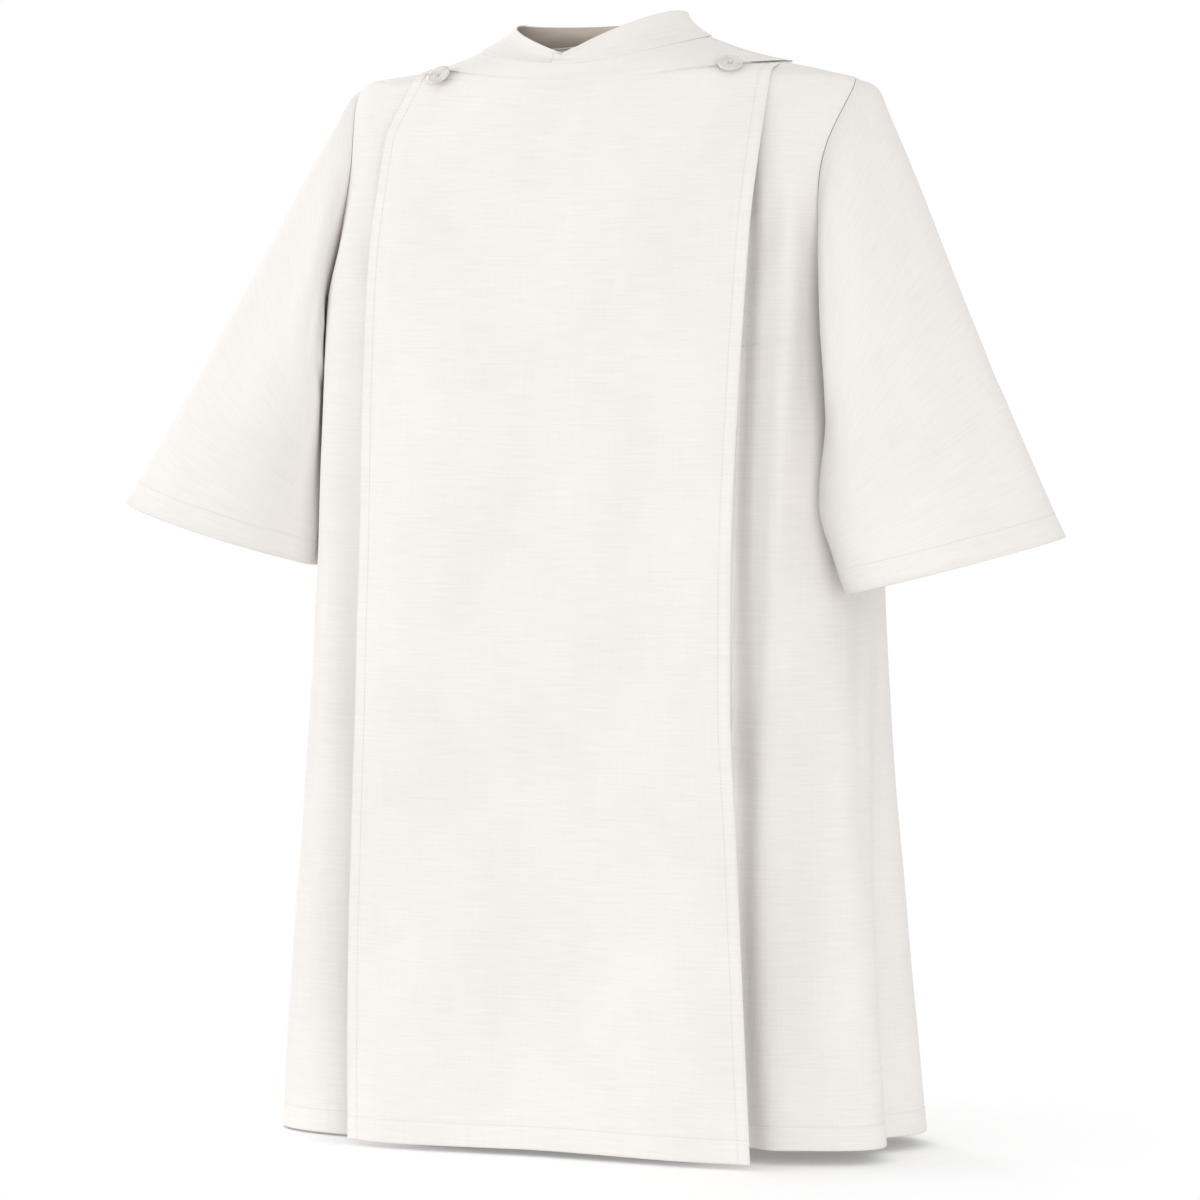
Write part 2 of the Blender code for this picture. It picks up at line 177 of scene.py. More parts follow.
def walls_between(index: Array) -> Array:
    """Four-cornered faces that join each closed ring of points to the next one.

    Args:
        index: point numbers: a ring along the last axis, the rings along the one before.

    Returns:
        The point numbers of one face a row.
    """
    turned = np.roll(index, -1, axis=-1)
    near, near_turned = index[..., :-1, :], turned[..., :-1, :]
    far, far_turned = index[..., 1:, :], turned[..., 1:, :]
    return np.stack([near, far, far_turned, near_turned], axis=-1).reshape(-1, 4)


def linked(name: str, data: bpy.types.ID) -> Object:
    """Adds an object to the scene.

    Args:
        name: its name.
        data: the mesh, light or camera that it shows.

    Returns:
        The object.
    """
    made = bpy.data.objects.new(name, data)
    bpy.context.scene.collection.objects.link(made)
    return made


@dataclass(frozen=True)
class Table:
    """A short table of sizes, read at any height on a smooth curve through its rows.

    Attributes:
        columns: names of the columns, the height first.
        rows: one row of numbers for each height.
    """

    columns: tuple[str, ...]
    rows: tuple[tuple[float, ...], ...]

    def read(self, name: str, at: Array) -> Array:
        """One column at some heights.

        The curve is a cubic between each two rows. Its slope at a row is the weighted
        harmonic mean of the slopes on both sides, or flat where they differ in sign, so
        the curve never overshoots the rows.

        Args:
            name: the column.
            at: heights, in an array of any shape.

        Returns:
            The column's value at each height.
        """
        table = np.array(sorted(self.rows))
        knots, values = table[:, 0], table[:, self.columns.index(name)]
        steps = np.diff(knots)
        slopes = np.diff(values) / steps
        tangents = np.zeros_like(values)
        near, far = steps[1:] + 2 * steps[:-1], 2 * steps[1:] + steps[:-1]
        with np.errstate(divide="ignore", invalid="ignore"):
            blended = (near + far) / (near / slopes[1:] + far / slopes[:-1])
        tangents[1:-1] = np.where(slopes[1:] * slopes[:-1] > 0, blended, 0.0)
        tangents[0], tangents[-1] = slopes[0], slopes[-1]
        at = np.clip(np.asarray(at, float), knots[0], knots[-1])
        cell = np.clip(np.searchsorted(knots, at) - 1, 0, len(steps) - 1)
        width = steps[cell]
        share = (at - knots[cell]) / width
        rest = 1 - share
        return (
            values[cell] * (1 + 2 * share) * rest**2
            + tangents[cell] * width * share * rest**2
            + values[cell + 1] * (3 - 2 * share) * share**2
            - tangents[cell + 1] * width * rest * share**2
        )


# ---- Creases ----


@dataclass(frozen=True)
class Crease:
    """One soft trough (negative depth) or ridge, pressed into a piece along a bowed line.

    Attributes:
        start: its first end, across and down the piece, in metres.
        end: its last end.
        depth: how far its middle moves the cloth out.
        half_width: half of its width, to where the depth falls to about a third.
        bow: how far its middle bows off the straight line between its ends.
        fade: share of its length over which each end dies away.
    """

    start: tuple[float, float]
    end: tuple[float, float]
    depth: float
    half_width: float
    bow: float = 0.0
    fade: float = 0.35

    def relief(self, across: Array, down: Array) -> Array:
        """How far this crease moves the cloth out.

        With s the share of the way from start to end and d the distance from the bowed
        line, the relief is depth x exp(-(d / half_width)^2), eased in and out over the
        first and last part of the line.

        Args:
            across: each point's place across the piece.
            down: each point's place down the piece.

        Returns:
            One distance for each point.
        """
        way = np.subtract(self.end, self.start)
        length = float(np.hypot(*way))
        from_start = across - self.start[0], down - self.start[1]
        share = (from_start[0] * way[0] + from_start[1] * way[1]) / length**2
        aside = (from_start[1] * way[0] - from_start[0] * way[1]) / length
        aside = aside - self.bow * 4 * share * (1 - share)
        strength = ease(share / self.fade) * ease((1 - share) / self.fade)
        return self.depth * strength * np.exp(-((aside / self.half_width) ** 2))


@dataclass(frozen=True)
class Drape:
    """All the creases of a piece, with the gentle unevenness of cloth that hangs.

    Attributes:
        creases: the creases that are placed by hand.
        unrest: how far the unevenness moves the cloth, in metres.
        phase: where the unevenness starts, so that two pieces differ.
    """
    # creases: the creases, placed one by one.

    creases: tuple[Crease, ...]
    unrest: float
    phase: float = 0.0

    # Wavelength in metres, direction in degrees and share of each wave of the unevenness.
    WAVES = ((0.310, 8.0, 1.0), (0.190, -14.0, 0.7), (0.127, 21.0, 0.45), (0.083, -33.0, 0.3))

    def relief(self, across: Array, down: Array) -> Array:
        """How far the creases and the unevenness move the cloth out.

        The unevenness is a sum of sine waves that run mostly down the cloth:
        share x sin(2 pi (across cos a + down sin a) / wavelength + phase).

        Args:
            across: each point's place across the piece.
            down: each point's place down the piece.

        Returns:
            One distance for each point.
        """
        total = np.zeros(np.broadcast(across, down).shape)
        for number, (length, degrees, share) in enumerate(self.WAVES):
            angle = math.radians(degrees)
            run = across * math.cos(angle) + down * math.sin(angle)
            total += self.unrest * share * np.sin(2 * math.pi * run / length + self.phase + number)
        for crease in self.creases:
            total += crease.relief(across, down)
        return total


# ---- Cloth ----


@dataclass(frozen=True)
class ClothMake:
    """How the cloth is made up, wherever a piece doesn't say otherwise.

    Attributes:
        single: wall of one layer of cloth.
        double: wall where an edge is turned in and lies on the cloth.
        turn_step: how far the change from double to single takes.
        turn_rise: how far the outer face stands out over a turned edge.
        stitch_dip: how deep a line of stitches pulls the outer face in.
        stitch_reach: half of the width of that dip.
        seam_round: radius of an edge that is turned into a seam.
        seam_allowance: how far the cloth goes on inside, past that turn.
        seam_steps: how many steps the turn has.
    """

    single: float = 0.0009
    double: float = 0.0017
    turn_step: float = 0.0016
    turn_rise: float = 0.0003
    stitch_dip: float = 0.00045
    stitch_reach: float = 0.0022
    seam_round: float = 0.0003
    seam_allowance: float = 0.006
    seam_steps: int = 4


MAKE = ClothMake()


@dataclass
class Cloth:
    """One cut piece of cloth on a grid of points, before and after it gets its wall.

    Attributes:
        name: the piece's name.
        face: points of the outer face, rows running down and columns across.
        wall: the wall at each point.
        pattern: flat-pattern coordinates of each point: across and down, in metres.
    """

    name: str
    face: Array
    wall: Array
    pattern: Array

    @classmethod
    def cut(cls, name: str, face: Array) -> "Cloth":
        """A piece with one layer's wall and a pattern measured on its own face.

        The place across is the distance walked along each row, from the row's middle. The
        place down is the mean distance walked down the columns, so that a thread of the
        weft follows a row.

        Args:
            name: the piece's name.
            face: points of its outer face.

        Returns:
            The piece.
        """
        across = running_length(face, 1)
        across = across - across[:, -1:] / 2
        down = running_length(face, 0).mean(axis=1, keepdims=True) + 0 * across
        pattern = np.stack([across, down], axis=-1)
        return cls(name, face, np.full(face.shape[:2], MAKE.single), pattern)

    def normals(self) -> Array:
        """Outward unit normals: the step down a column crossed with the step along a row."""
        return unit(np.cross(np.gradient(self.face, axis=0), np.gradient(self.face, axis=1)))

    def moved_out(self, distance: Array) -> None:
        """Moves the outer face along its normals by a distance at each point."""
        self.face = self.face + self.normals() * distance[..., None]

    def from_border(self, border: Border) -> Array:
        """Distances from a border, measured on the face.

        Args:
            border: the border.

        Returns:
            One distance for each point.
        """
        axis, place = border.value
        walked = running_length(self.face, axis)
        return np.abs(walked - np.take(walked, [place], axis=axis))

    def hemmed(self, border: Border, width: float) -> None:
        """Turns an edge in and stitches it down.

        The wall is double up to the stitches. The outer face stands out over the turned
        edge, and dips along the stitches as exp(-((distance - width) / reach)^2).

        Args:
            border: the edge.
            width: how far from it the stitches run.
        """
        distance = self.from_border(border)
        turned = ease((width + MAKE.turn_step - distance) / MAKE.turn_step)
        self.wall = np.maximum(self.wall, MAKE.single + (MAKE.double - MAKE.single) * turned)
        dip = np.exp(-(((distance - width) / MAKE.stitch_reach) ** 2))
        self.moved_out(MAKE.turn_rise * turned - MAKE.stitch_dip * dip)

    def seamed(self, border: Border, allowance: float | None = None) -> None:
        """Turns an edge into a seam: a quarter round inwards, then the seam allowance.

        A point of the quarter round is the edge's point, moved along the surface by
        radius x (sin a - 1) and inwards by radius x (1 - cos a), for a from 0 to 90 degrees.

        Args:
            border: the edge.
            allowance: how far the cloth goes on inside; the usual allowance if None.
        """
        axis, place = border.value
        inward = MAKE.seam_allowance if allowance is None else allowance
        beside = 1 if place == 0 else -2
        edge, next_in = (np.take(self.face, [n], axis=axis) for n in (place, beside))
        normal = np.take(self.normals(), [place], axis=axis)
        along = unit(edge - next_in)
        normal = unit(normal - along * (normal * along).sum(-1, keepdims=True))
        turn = np.linspace(0, math.pi / 2, MAKE.seam_steps + 1)
        slips = [MAKE.seam_round * (math.sin(a) - 1) for a in turn] + [0.0]
        drops = [MAKE.seam_round * (1 - math.cos(a)) for a in turn] + [MAKE.seam_round + inward]
        lines = [edge + along * slip - normal * drop for slip, drop in zip(slips, drops)]
        wall_line = np.take(self.wall, [place], axis=axis)
        pattern_line = np.take(self.pattern, [place], axis=axis)
        kept = slice(1, None) if place == 0 else slice(None, -1)
        ordered = lines[::-1] if place == 0 else lines
        pick = (kept,) if axis == 0 else (slice(None), kept)

        def joined(grid: Array, extra: list[Array]) -> Array:
            """The grid with its border line replaced by the extra lines."""
            inside = grid[pick]
            return np.concatenate([*extra, inside] if place == 0 else [inside, *extra], axis=axis)

        self.face = joined(self.face, ordered)
        self.wall = joined(self.wall, [wall_line] * len(lines))
        self.pattern = joined(self.pattern, [pattern_line] * len(lines))

    def line_at(self, border: Border, width: float) -> tuple[Array, Array]:
        """The line on the outer face that runs at a distance from a border.

        Args:
            border: the border.
            width: the distance.

        Returns:
            Points of the line, and the outward normals there.
        """
        axis, _ = border.value
        distance, face, normal = self.from_border(border), self.face, self.normals()
        if axis == 1:
            distance, face, normal = distance.T, face.swapaxes(0, 1), normal.swapaxes(0, 1)
        if distance[0, 0] > distance[-1, 0]:
            distance, face, normal = distance[::-1], face[::-1], normal[::-1]
        row = np.clip((distance < width).sum(axis=0), 1, len(distance) - 1)
        column = np.arange(distance.shape[1])
        low, high = distance[row - 1, column], distance[row, column]
        share = np.clip((width - low) / (high - low), 0, 1)[:, None]
        points = face[row - 1, column] * (1 - share) + face[row, column] * share
        return points, unit(normal[row - 1, column] * (1 - share) + normal[row, column] * share)

    def built(
        self, material: Material, side: Side = Side.LEFT, inner_painted_shade: Material | None = None
    ) -> Object:
        """Makes the closed shell.

        The inner face is the outer face moved in by the wall. Round the border the two
        are joined over a lip, half a wall out from the border, so that a turned edge
        shows as a round one.

        Args:
            material: the finish.
            side: the wearer's side that the piece is for; the grid is one for the left.
            inner_painted_shade: the finish of the inner face, if it has one of its own: a darker
                colour that paints the shade inside.

        Returns:
            The new object.
        """
        rows, columns = self.wall.shape
        index = np.arange(rows * columns).reshape(rows, columns)
        middle = self.face - self.normals() * self.wall[..., None] / 2
        face, inner = self.face.reshape(-1, 3), (2 * middle - self.face).reshape(-1, 3)
        corners = index[:-1, :-1], index[1:, :-1], index[1:, 1:], index[:-1, 1:]
        outer_faces = np.stack([corner.ravel() for corner in corners], axis=1)
        around = [index[0, ::-1], index[1:, 0], index[-1, 1:], index[-2:0:-1, -1]]
        loop = np.concatenate(around)
        row_in = np.clip(loop // columns, 1, rows - 2)
        column_in = np.clip(loop % columns, 1, columns - 2)
        centre = middle.reshape(-1, 3)[loop]
        half_wall = self.wall.ravel()[loop, None] / 2
        lip = centre + unit(centre - middle[row_in, column_in]) * half_wall
        here = np.arange(len(loop))
        there = np.roll(here, -1)
        lips, rear = here + 2 * rows * columns, loop + rows * columns
        front_faces = np.stack([loop, lips, lips[there], loop[there]], axis=1)
        rear_faces = np.stack([lips, rear, rear[there], lips[there]], axis=1)
        inner_faces = (outer_faces + rows * columns)[:, ::-1]
        flat = self.pattern.reshape(-1, 2)
        pattern = np.concatenate([flat, flat, flat[loop]])
        faces = np.concatenate([outer_faces, front_faces, rear_faces, inner_faces])
        points = np.concatenate([face, inner, lip]) * np.array([side.value, 1, 1])
        made = mesh_object(self.name, points, faces, material, pattern[faces])
        # The inner faces take a darker finish of their own: painted shade.
        if inner_painted_shade is not None:
            made.data.materials.append(inner_painted_shade)
            inside = np.arange(len(faces)) >= len(faces) - len(inner_faces)
            made.data.polygons.foreach_set("material_index", inside.astype(np.int32))
        return made


def mesh_object(
    name: str, points: Array, faces: Array, material: Material, uvs: Array | None = None
) -> Object:
    """A smooth-shaded mesh object at the origin, its faces turned outwards.

    Args:
        name: the object's name.
        points: one point a row.
        faces: the point numbers of one face a row, all faces having as many corners.
        material: the finish.
        uvs: flat-pattern coordinates of each face's corners.

    Returns:
        The new object.
    """
    sides = faces.shape[1]
    first, *others = (points[faces[:, k]] for k in range(sides))
    volume = sum((first * np.cross(a, b)).sum() for a, b in zip(others, others[1:]))
    if volume < 0:
        faces = faces[:, ::-1]
        uvs = None if uvs is None else uvs[:, ::-1]
    data = bpy.data.meshes.new(name)
    data.vertices.add(len(points))
    data.vertices.foreach_set("co", points.astype(np.float32).ravel())
    data.loops.add(faces.size)
    data.loops.foreach_set("vertex_index", faces.astype(np.int32).ravel())
    data.polygons.add(len(faces))
    data.polygons.foreach_set("loop_start", np.arange(0, faces.size, sides, dtype=np.int32))
    if uvs is not None:
        layer = data.uv_layers.new(name="pattern")
        layer.data.foreach_set("uv", uvs.astype(np.float32).ravel())
    data.update(calc_edges=True)
    data.validate()
    data.shade_smooth()
    data.materials.append(material)
    return linked(name, data)


@dataclass(frozen=True)
class Stitches:
    """A run of straight stitches along a line on the cloth.

    Attributes:
        pitch: from one stitch to the next.
        length: length of a stitch.
        half_width: half of a thread's width.
        rise: how far the middle of a stitch stands off the cloth.
        stations: how many rings a stitch has along its length.
        last_ring: share of half its length at which its last ring lies.
    """

    pitch: float = 0.0034
    length: float = 0.0027
    half_width: float = 0.00026
    rise: float = 0.00022
    stations: int = 5
    last_ring: float = 0.96

    # A thread's ends are faces like its walls, so it has as many sides as they have corners.
    SIDES = 4

    def along(self, line: Array, normal: Array) -> tuple[Array, Array]:
        """Points and faces of the stitches along a line.

        A stitch is a four-sided thread of radius half_width x sqrt(1 - s^4) that is bowed
        off the cloth by rise x (1 - 2 s^2), with s from -1 to 1 along it.

        Args:
            line: points of the line on the cloth's face.
            normal: outward normals there.

        Returns:
            Points, and the numbers of each face's four corners.
        """
        walked = running_length(line[None], 1)[0]
        count = int((walked[-1] - self.pitch) / self.pitch)
        centre = (np.arange(count) + 0.5) * walked[-1] / count
        station = np.linspace(-self.last_ring, self.last_ring, self.stations)
        at = centre[:, None] + station * self.length / 2
        place = np.stack([np.interp(at, walked, line[:, k]) for k in range(3)], axis=-1)
        up = unit(np.stack([np.interp(at, walked, normal[:, k]) for k in range(3)], axis=-1))
        ahead = unit(place[:, -1:] - place[:, :1])
        side = unit(np.cross(ahead, up))
        radius = self.half_width * np.sqrt(1 - station**4)[:, None, None]
        bow = self.rise * (1 - 2 * station**2)[:, None]
        turn = np.arange(self.SIDES) * 2 * math.pi / self.SIDES
        ring = (
            (place + up * bow)[:, :, None]
            + side[:, :, None] * np.cos(turn)[:, None] * radius
            + up[:, :, None] * np.sin(turn)[:, None] * radius
        )
        points = ring.reshape(-1, 3)
        index = np.arange(len(points)).reshape(count, self.stations, self.SIDES)
        return points, np.concatenate([walls_between(index), index[:, 0], index[:, -1, ::-1]])


@dataclass
class Sewing:
    """Gathers the stitch lines of one piece of cloth and makes them one object.

    Attributes:
        name: the object's name.
        stitches: the kind of stitch.
        points: the points that are gathered so far, in blocks.
        faces: the faces on them.
        count: how many points there are.
    """

    name: str
    stitches: Stitches = field(default_factory=Stitches)
    points: list[Array] = field(default_factory=list)
    faces: list[Array] = field(default_factory=list)
    count: int = 0

    def sew(self, cloth: Cloth, border: Border, width: float) -> None:
        """Sews a line along a border of the cloth, seen on both faces.

        Args:
            cloth: the piece.
            border: the border.
            width: how far from it the line runs.
        """
        line, normal = cloth.line_at(border, width)
        self.add(*self.stitches.along(line, normal))
        self.add(*self.stitches.along(line - normal * MAKE.double, -normal))

    def add(self, points: Array, faces: Array) -> None:
        """Adds a piece of the mesh to the object.

        Args:
            points: one point a row.
            faces: the point numbers of one face a row, counted from 0.
        """
        self.points.append(points)
        self.faces.append(faces + self.count)
        self.count += len(points)

    def built(self, material: Material, side: Side = Side.LEFT) -> Object:
        """Makes the object, on the wearer's side that the piece of cloth is for."""
        points = np.concatenate(self.points) * np.array([side.value, 1, 1])
        return mesh_object(self.name, points, np.concatenate(self.faces), material)


# ---- The form that the garment hangs in ----


@dataclass(frozen=True)
class BodyForm:
    """The curved surface that every body piece is cut from.

    Attributes:
        sections: level sections: where the middle lies, half the width, the depth to the
            front and back, and how square the section is (2 is an ellipse).
        folds: the skirt's folds: bearing and half width in degrees, how far each stands
            out at the hem, and the height where it dies away.
        hem: height of the hem.
        hem_tilt: how far the hem rises on the wearer's left and drops on the right.
        neck_dip: how far the neck seam drops at the centre front.
        neck_dip_power: power that narrows that dip.
        neck_dip_reach: depth below the neck over which it dies away.
        back_neck_rise: how far the neck seam rises at the centre back.
        neck_tilt: slope of the neck towards the wearer's left.
        neck_tilt_reach: radius at which that slope dies away.
        neck_tilt_fade: depth at which it dies away.
        armhole_top: height of the armhole's top.
        armhole_foot: height of its foot.
        armhole_half_turn: half of its opening as a bearing, in degrees.
        armhole_roundness: power that rounds its outline.
        seam_gap: gap between two pieces that are sewn together.
        fold_arc: metres along the body for each radian of bearing, for placing creases.
        side_stretch: bearings in degrees between which the surface runs steadily backwards.
        halvings: how often a search halves its stretch.
    """

    sections: Table = Table(
        ("z", "middle", "half_width", "front", "back", "square"),
        (
            (0.012, -0.008, 0.078, 0.068, 0.052, 2.0),
            (0.000, -0.004, 0.109, 0.078, 0.062, 2.0),
            (-0.010, 0.000, 0.136, 0.086, 0.072, 2.0),
            (-0.019, 0.004, 0.170, 0.094, 0.081, 2.0),
            (-0.027, 0.008, 0.219, 0.100, 0.089, 2.0),
            (-0.034, 0.011, 0.250, 0.104, 0.094, 2.05),
            (-0.046, 0.013, 0.258, 0.109, 0.100, 2.1),
            (-0.065, 0.012, 0.262, 0.115, 0.108, 2.15),
            (-0.095, 0.008, 0.265, 0.1215, 0.118, 2.2),
            (-0.190, 0.000, 0.272, 0.140, 0.135, 2.3),
            (-0.330, -0.008, 0.2775, 0.1487, 0.145, 2.3),
            (-0.470, -0.014, 0.281, 0.1495, 0.152, 2.3),
            (-0.610, -0.018, 0.287, 0.1473, 0.160, 2.3),
            (-0.750, -0.021, 0.295, 0.139, 0.168, 2.3),
            (-0.890, -0.024, 0.305, 0.130, 0.177, 2.3),
            (-1.060, -0.026, 0.320, 0.1165, 0.188, 2.3),
        ),
    )
    folds: tuple[tuple[float, float, float, float], ...] = (
        (64.0, 7.0, -0.026, -0.10),
        (78.0, 6.0, 0.008, -0.30),
        (92.0, 6.0, -0.030, -0.36),
        (108.0, 9.0, 0.014, -0.30),
        (127.0, 8.0, -0.016, -0.26),
        (145.0, 9.0, 0.012, -0.22),
        (164.0, 8.0, -0.013, -0.30),
        (182.0, 9.0, 0.011, -0.24),
        (201.0, 8.5, -0.015, -0.20),
        (219.0, 9.0, 0.013, -0.28),
        (236.0, 7.5, -0.014, -0.24),
        (253.0, 9.0, 0.014, -0.32),
        (268.0, 6.5, -0.028, -0.38),
        (282.0, 6.0, 0.010, -0.50),
        (297.0, 6.5, -0.022, -0.12),
    )
    hem: float = -1.038
    hem_tilt: float = 0.006
    neck_dip: float = 0.022
    neck_dip_power: float = 1.5
    neck_dip_reach: float = 0.12
    back_neck_rise: float = 0.004
    neck_tilt: float = 0.045
    neck_tilt_reach: float = 0.23
    neck_tilt_fade: float = 0.10
    armhole_top: float = -0.035
    armhole_foot: float = -0.285
    armhole_half_turn: float = 16.0
    armhole_roundness: float = 0.6
    seam_gap: float = 0.0003
    fold_arc: float = 0.27
    side_stretch: tuple[float, float] = (40.0, 140.0)
    halvings: int = 24

    def fold_reach(self, bearing: Array, z: Array) -> Array:
        """How far the skirt's folds push the surface out.

        Each fold adds out x grown x exp(-(turn / spread)^2), where turn is the angle from
        the fold's middle and grown eases from 0 at the fold's top to 1 at the hem.

        Args:
            bearing: bearings in radians.
            z: heights.

        Returns:
            One distance for each bearing and height.
        """
        reach = np.zeros(np.broadcast(bearing, z).shape)
        for middle, spread, out, top in self.folds:
            turn = (np.degrees(bearing) - middle + 180.0) % 360.0 - 180.0
            grown = ease((top - z) / (top - self.hem))
            reach = reach + out * grown * np.exp(-((turn / spread) ** 2))
        return reach

    def surface(self, bearing: Array, z: Array, folded: bool = True) -> Array:
        """Points of the body surface.

        A level section is |x / half_width|^square + |y / depth|^square = 1 round its own
        middle, so the radius at a bearing b is (|sin b / half_width|^square +
        |cos b / depth|^square)^(-1 / square).

        Args:
            bearing: bearings in radians.
            z: heights.
            folded: whether the skirt's folds are added to the radius.

        Returns:
            One point for each bearing and height.
        """
        bearing, z = np.broadcast_arrays(np.asarray(bearing, float), np.asarray(z, float))
        middle, half_width, front, back, square = (
            self.sections.read(name, z) for name in self.sections.columns[1:]
        )
        sine, cosine = np.sin(bearing), np.cos(bearing)
        depth = np.where(cosine > 0, front, back)
        radius = np.abs(sine / half_width) ** square + np.abs(cosine / depth) ** square
        radius = radius ** (-1 / square)
        if folded:
            radius = radius + self.fold_reach(bearing, z)
        near_neck = np.clip(1 - (radius / self.neck_tilt_reach) ** 2, 0, 1)
        tilt = self.neck_tilt * radius * sine * near_neck * ease(1 + z / self.neck_tilt_fade)
        return np.stack([radius * sine, middle - radius * cosine, z + tilt], axis=-1)

    def plain_normals(self, bearing: Array, z: Array, step: float = 1e-4) -> Array:
        """Outward unit normals of the surface without its skirt folds.

        Args:
            bearing: bearings in radians.
            z: heights.
            step: how far apart the points lie from which a slope is taken.

        Returns:
            One normal for each bearing and height.
        """
        along = self.surface(bearing + step, z, False) - self.surface(bearing - step, z, False)
        up = self.surface(bearing, z + step, False) - self.surface(bearing, z - step, False)
        return unit(np.cross(along, up))

    def neck_height(self, bearing: Array) -> Array:
        """Height of the neck seam: it dips at the front and rises a little at the back."""
        front, back = (np.clip(sign * np.cos(bearing), 0, None) for sign in (1, -1))
        return self.back_neck_rise * back - self.neck_dip * front**self.neck_dip_power

    def heights(self, levels: Array, bearing: Array) -> Array:
        """Heights of points at these levels: the top ones follow the neck seam."""
        near_neck = np.clip(1 + levels / self.neck_dip_reach, 0, 1)
        return levels + self.neck_height(bearing) * near_neck

    def armhole_half_angle(self, levels: Array) -> Array:
        """Half of the armhole's opening, as sin(pi x share)^roundness of its widest.

        Args:
            levels: levels; the share runs from 0 at the armhole's top to 1 at its foot.

        Returns:
            One angle in radians for each level.
        """
        share = (self.armhole_top - levels) / (self.armhole_top - self.armhole_foot)
        round_share = np.sin(math.pi * np.clip(share, 0, 1)) ** self.armhole_roundness
        return math.radians(self.armhole_half_turn) * round_share

    def armhole_levels(self, turn: Array) -> Array:
        """Levels round the armhole, from the shoulder point (0) to its foot (a half turn)."""
        return self.armhole_top + (self.armhole_foot - self.armhole_top) * (1 - np.cos(turn)) / 2

    def row_levels(
        self, rows: tuple[int, int, int], foot: float, fine: float, fine_rows: int
    ) -> Array:
        """Levels of a piece's rows: close at the shoulder, and finer over its hem.

        Args:
            rows: how many lie above the armhole, beside it and below it.
            foot: level of the hem.
            fine: how far up the finer rows reach.
            fine_rows: how many of them there are.

        Returns:
            The levels, from the top down.
        """
        shoulder = np.linspace(0.0, self.armhole_top, rows[0], endpoint=False)
        turn = np.linspace(0, math.pi, rows[1], endpoint=False)
        skirt = graded(self.armhole_foot, foot, rows[2], fine, fine_rows)
        return np.concatenate([shoulder, self.armhole_levels(turn), skirt])

    def armhole_ring(self, turn: Array) -> Array:
        """Points round the left armhole.

        Args:
            turn: how far round it, from the shoulder point forwards, in radians.

        Returns:
            One point for each turn.
        """
        levels = self.armhole_levels(turn)
        ahead = np.sign(np.round(np.sin(turn), 6))
        bearing = math.pi / 2 - self.armhole_half_angle(levels) * ahead
        return self.surface(bearing, self.heights(levels, bearing))

    def side_angle(self, levels: Array) -> Array:
        """Bearing of the front's outer edge: shoulder seam, armhole, then side seam."""
        radius = np.linalg.norm(self.surface(math.pi / 2, levels)[:, :2], axis=1)
        return math.pi / 2 - self.armhole_half_angle(levels) - self.seam_gap / 2 / radius

    def side_reach(self, y: Array, z: Array) -> Array:
        """How far out the surface lies on the wearer's left.

        Args:
            y: depths, the front being negative.
            z: heights.

        Returns:
            One x for each depth and height.
        """
        low, high = (np.full(np.shape(z), math.radians(turn)) for turn in self.side_stretch)
        low, high = halved(low, high, lambda turn: self.surface(turn, z)[..., 1] > y, self.halvings)
        return self.surface((low + high) / 2, z)[..., 0]

    def spot(self, degrees: float, z: float) -> tuple[float, float]:
        """The place across and down the body, for a crease's end, at a bearing and height."""
        return math.radians(degrees) * self.fold_arc, -z


FORM = BodyForm()


# ---- Sub-assemblies ----


@dataclass(frozen=True)
class Finishes:
    """The materials that the pieces are dressed in.

    Attributes:
        cloth: the garment's cloth.
        inner_painted_shade: a darker cloth colour inside the collar: painted shade, not a cloth of
            its own.
        thread: the sewing thread.
        button: what the buttons are made of.
    """

    cloth: Material
    # Painted shade: a darker colour for the collar's inner face.
    inner_painted_shade: Material
    thread: Material
    button: Material


def dressed(piece: Object, slot: Slot, *nodes: str) -> Object:
    """Makes a piece move with the garment and hides the solids that it stands for.

    Args:
        piece: the piece.
        slot: its material slot; not used.
        nodes: the solids that it replaces.

    Returns:
        The piece.
    """
    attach(piece, BODY)
    if nodes:
        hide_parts(*nodes)
    triangles = sum(len(polygon.vertices) - 2 for polygon in piece.data.polygons)
    LOG.info("%s: %d triangles", piece.name, triangles)
    return piece


@dataclass
class HungPiece:
    """A hung piece of cloth. All of them are hemmed, stitched, seamed and dressed alike.

    Attributes:
        node: the solid it stands for.
        cloth: its cloth.
        hems: its hemmed edges, each with the width from the edge to its stitches.
        seams: the borders that are sewn to other pieces, in the order of sewing.
        flat_cut: flat width, length and area of its cut.
        allowance: how far its seams go on inside; the usual allowance if None.
        side: the wearer's side that it is for.
    """

    node: str
    cloth: Cloth
    hems: tuple[tuple[Border, float], ...]
    seams: tuple[Border, ...]
    flat_cut: Triple
    allowance: float | None = None
    side: Side = Side.LEFT

    def build(self, made: Finishes) -> None:
        """Args:
            made: the materials.
        """
        sewing = Sewing(f"{self.node}_stitching")
        for border, width in self.hems:
            self.cloth.hemmed(border, width)
        for border, width in self.hems:
            sewing.sew(self.cloth, border, width)
        for border in self.seams:
            self.cloth.seamed(border, self.allowance)
        shell = dressed(self.cloth.built(made.cloth, self.side), Slot.CLOTH, self.node)
        thread = dressed(sewing.built(made.thread, self.side), Slot.CLOTH)
        width, length, area = self.flat_cut


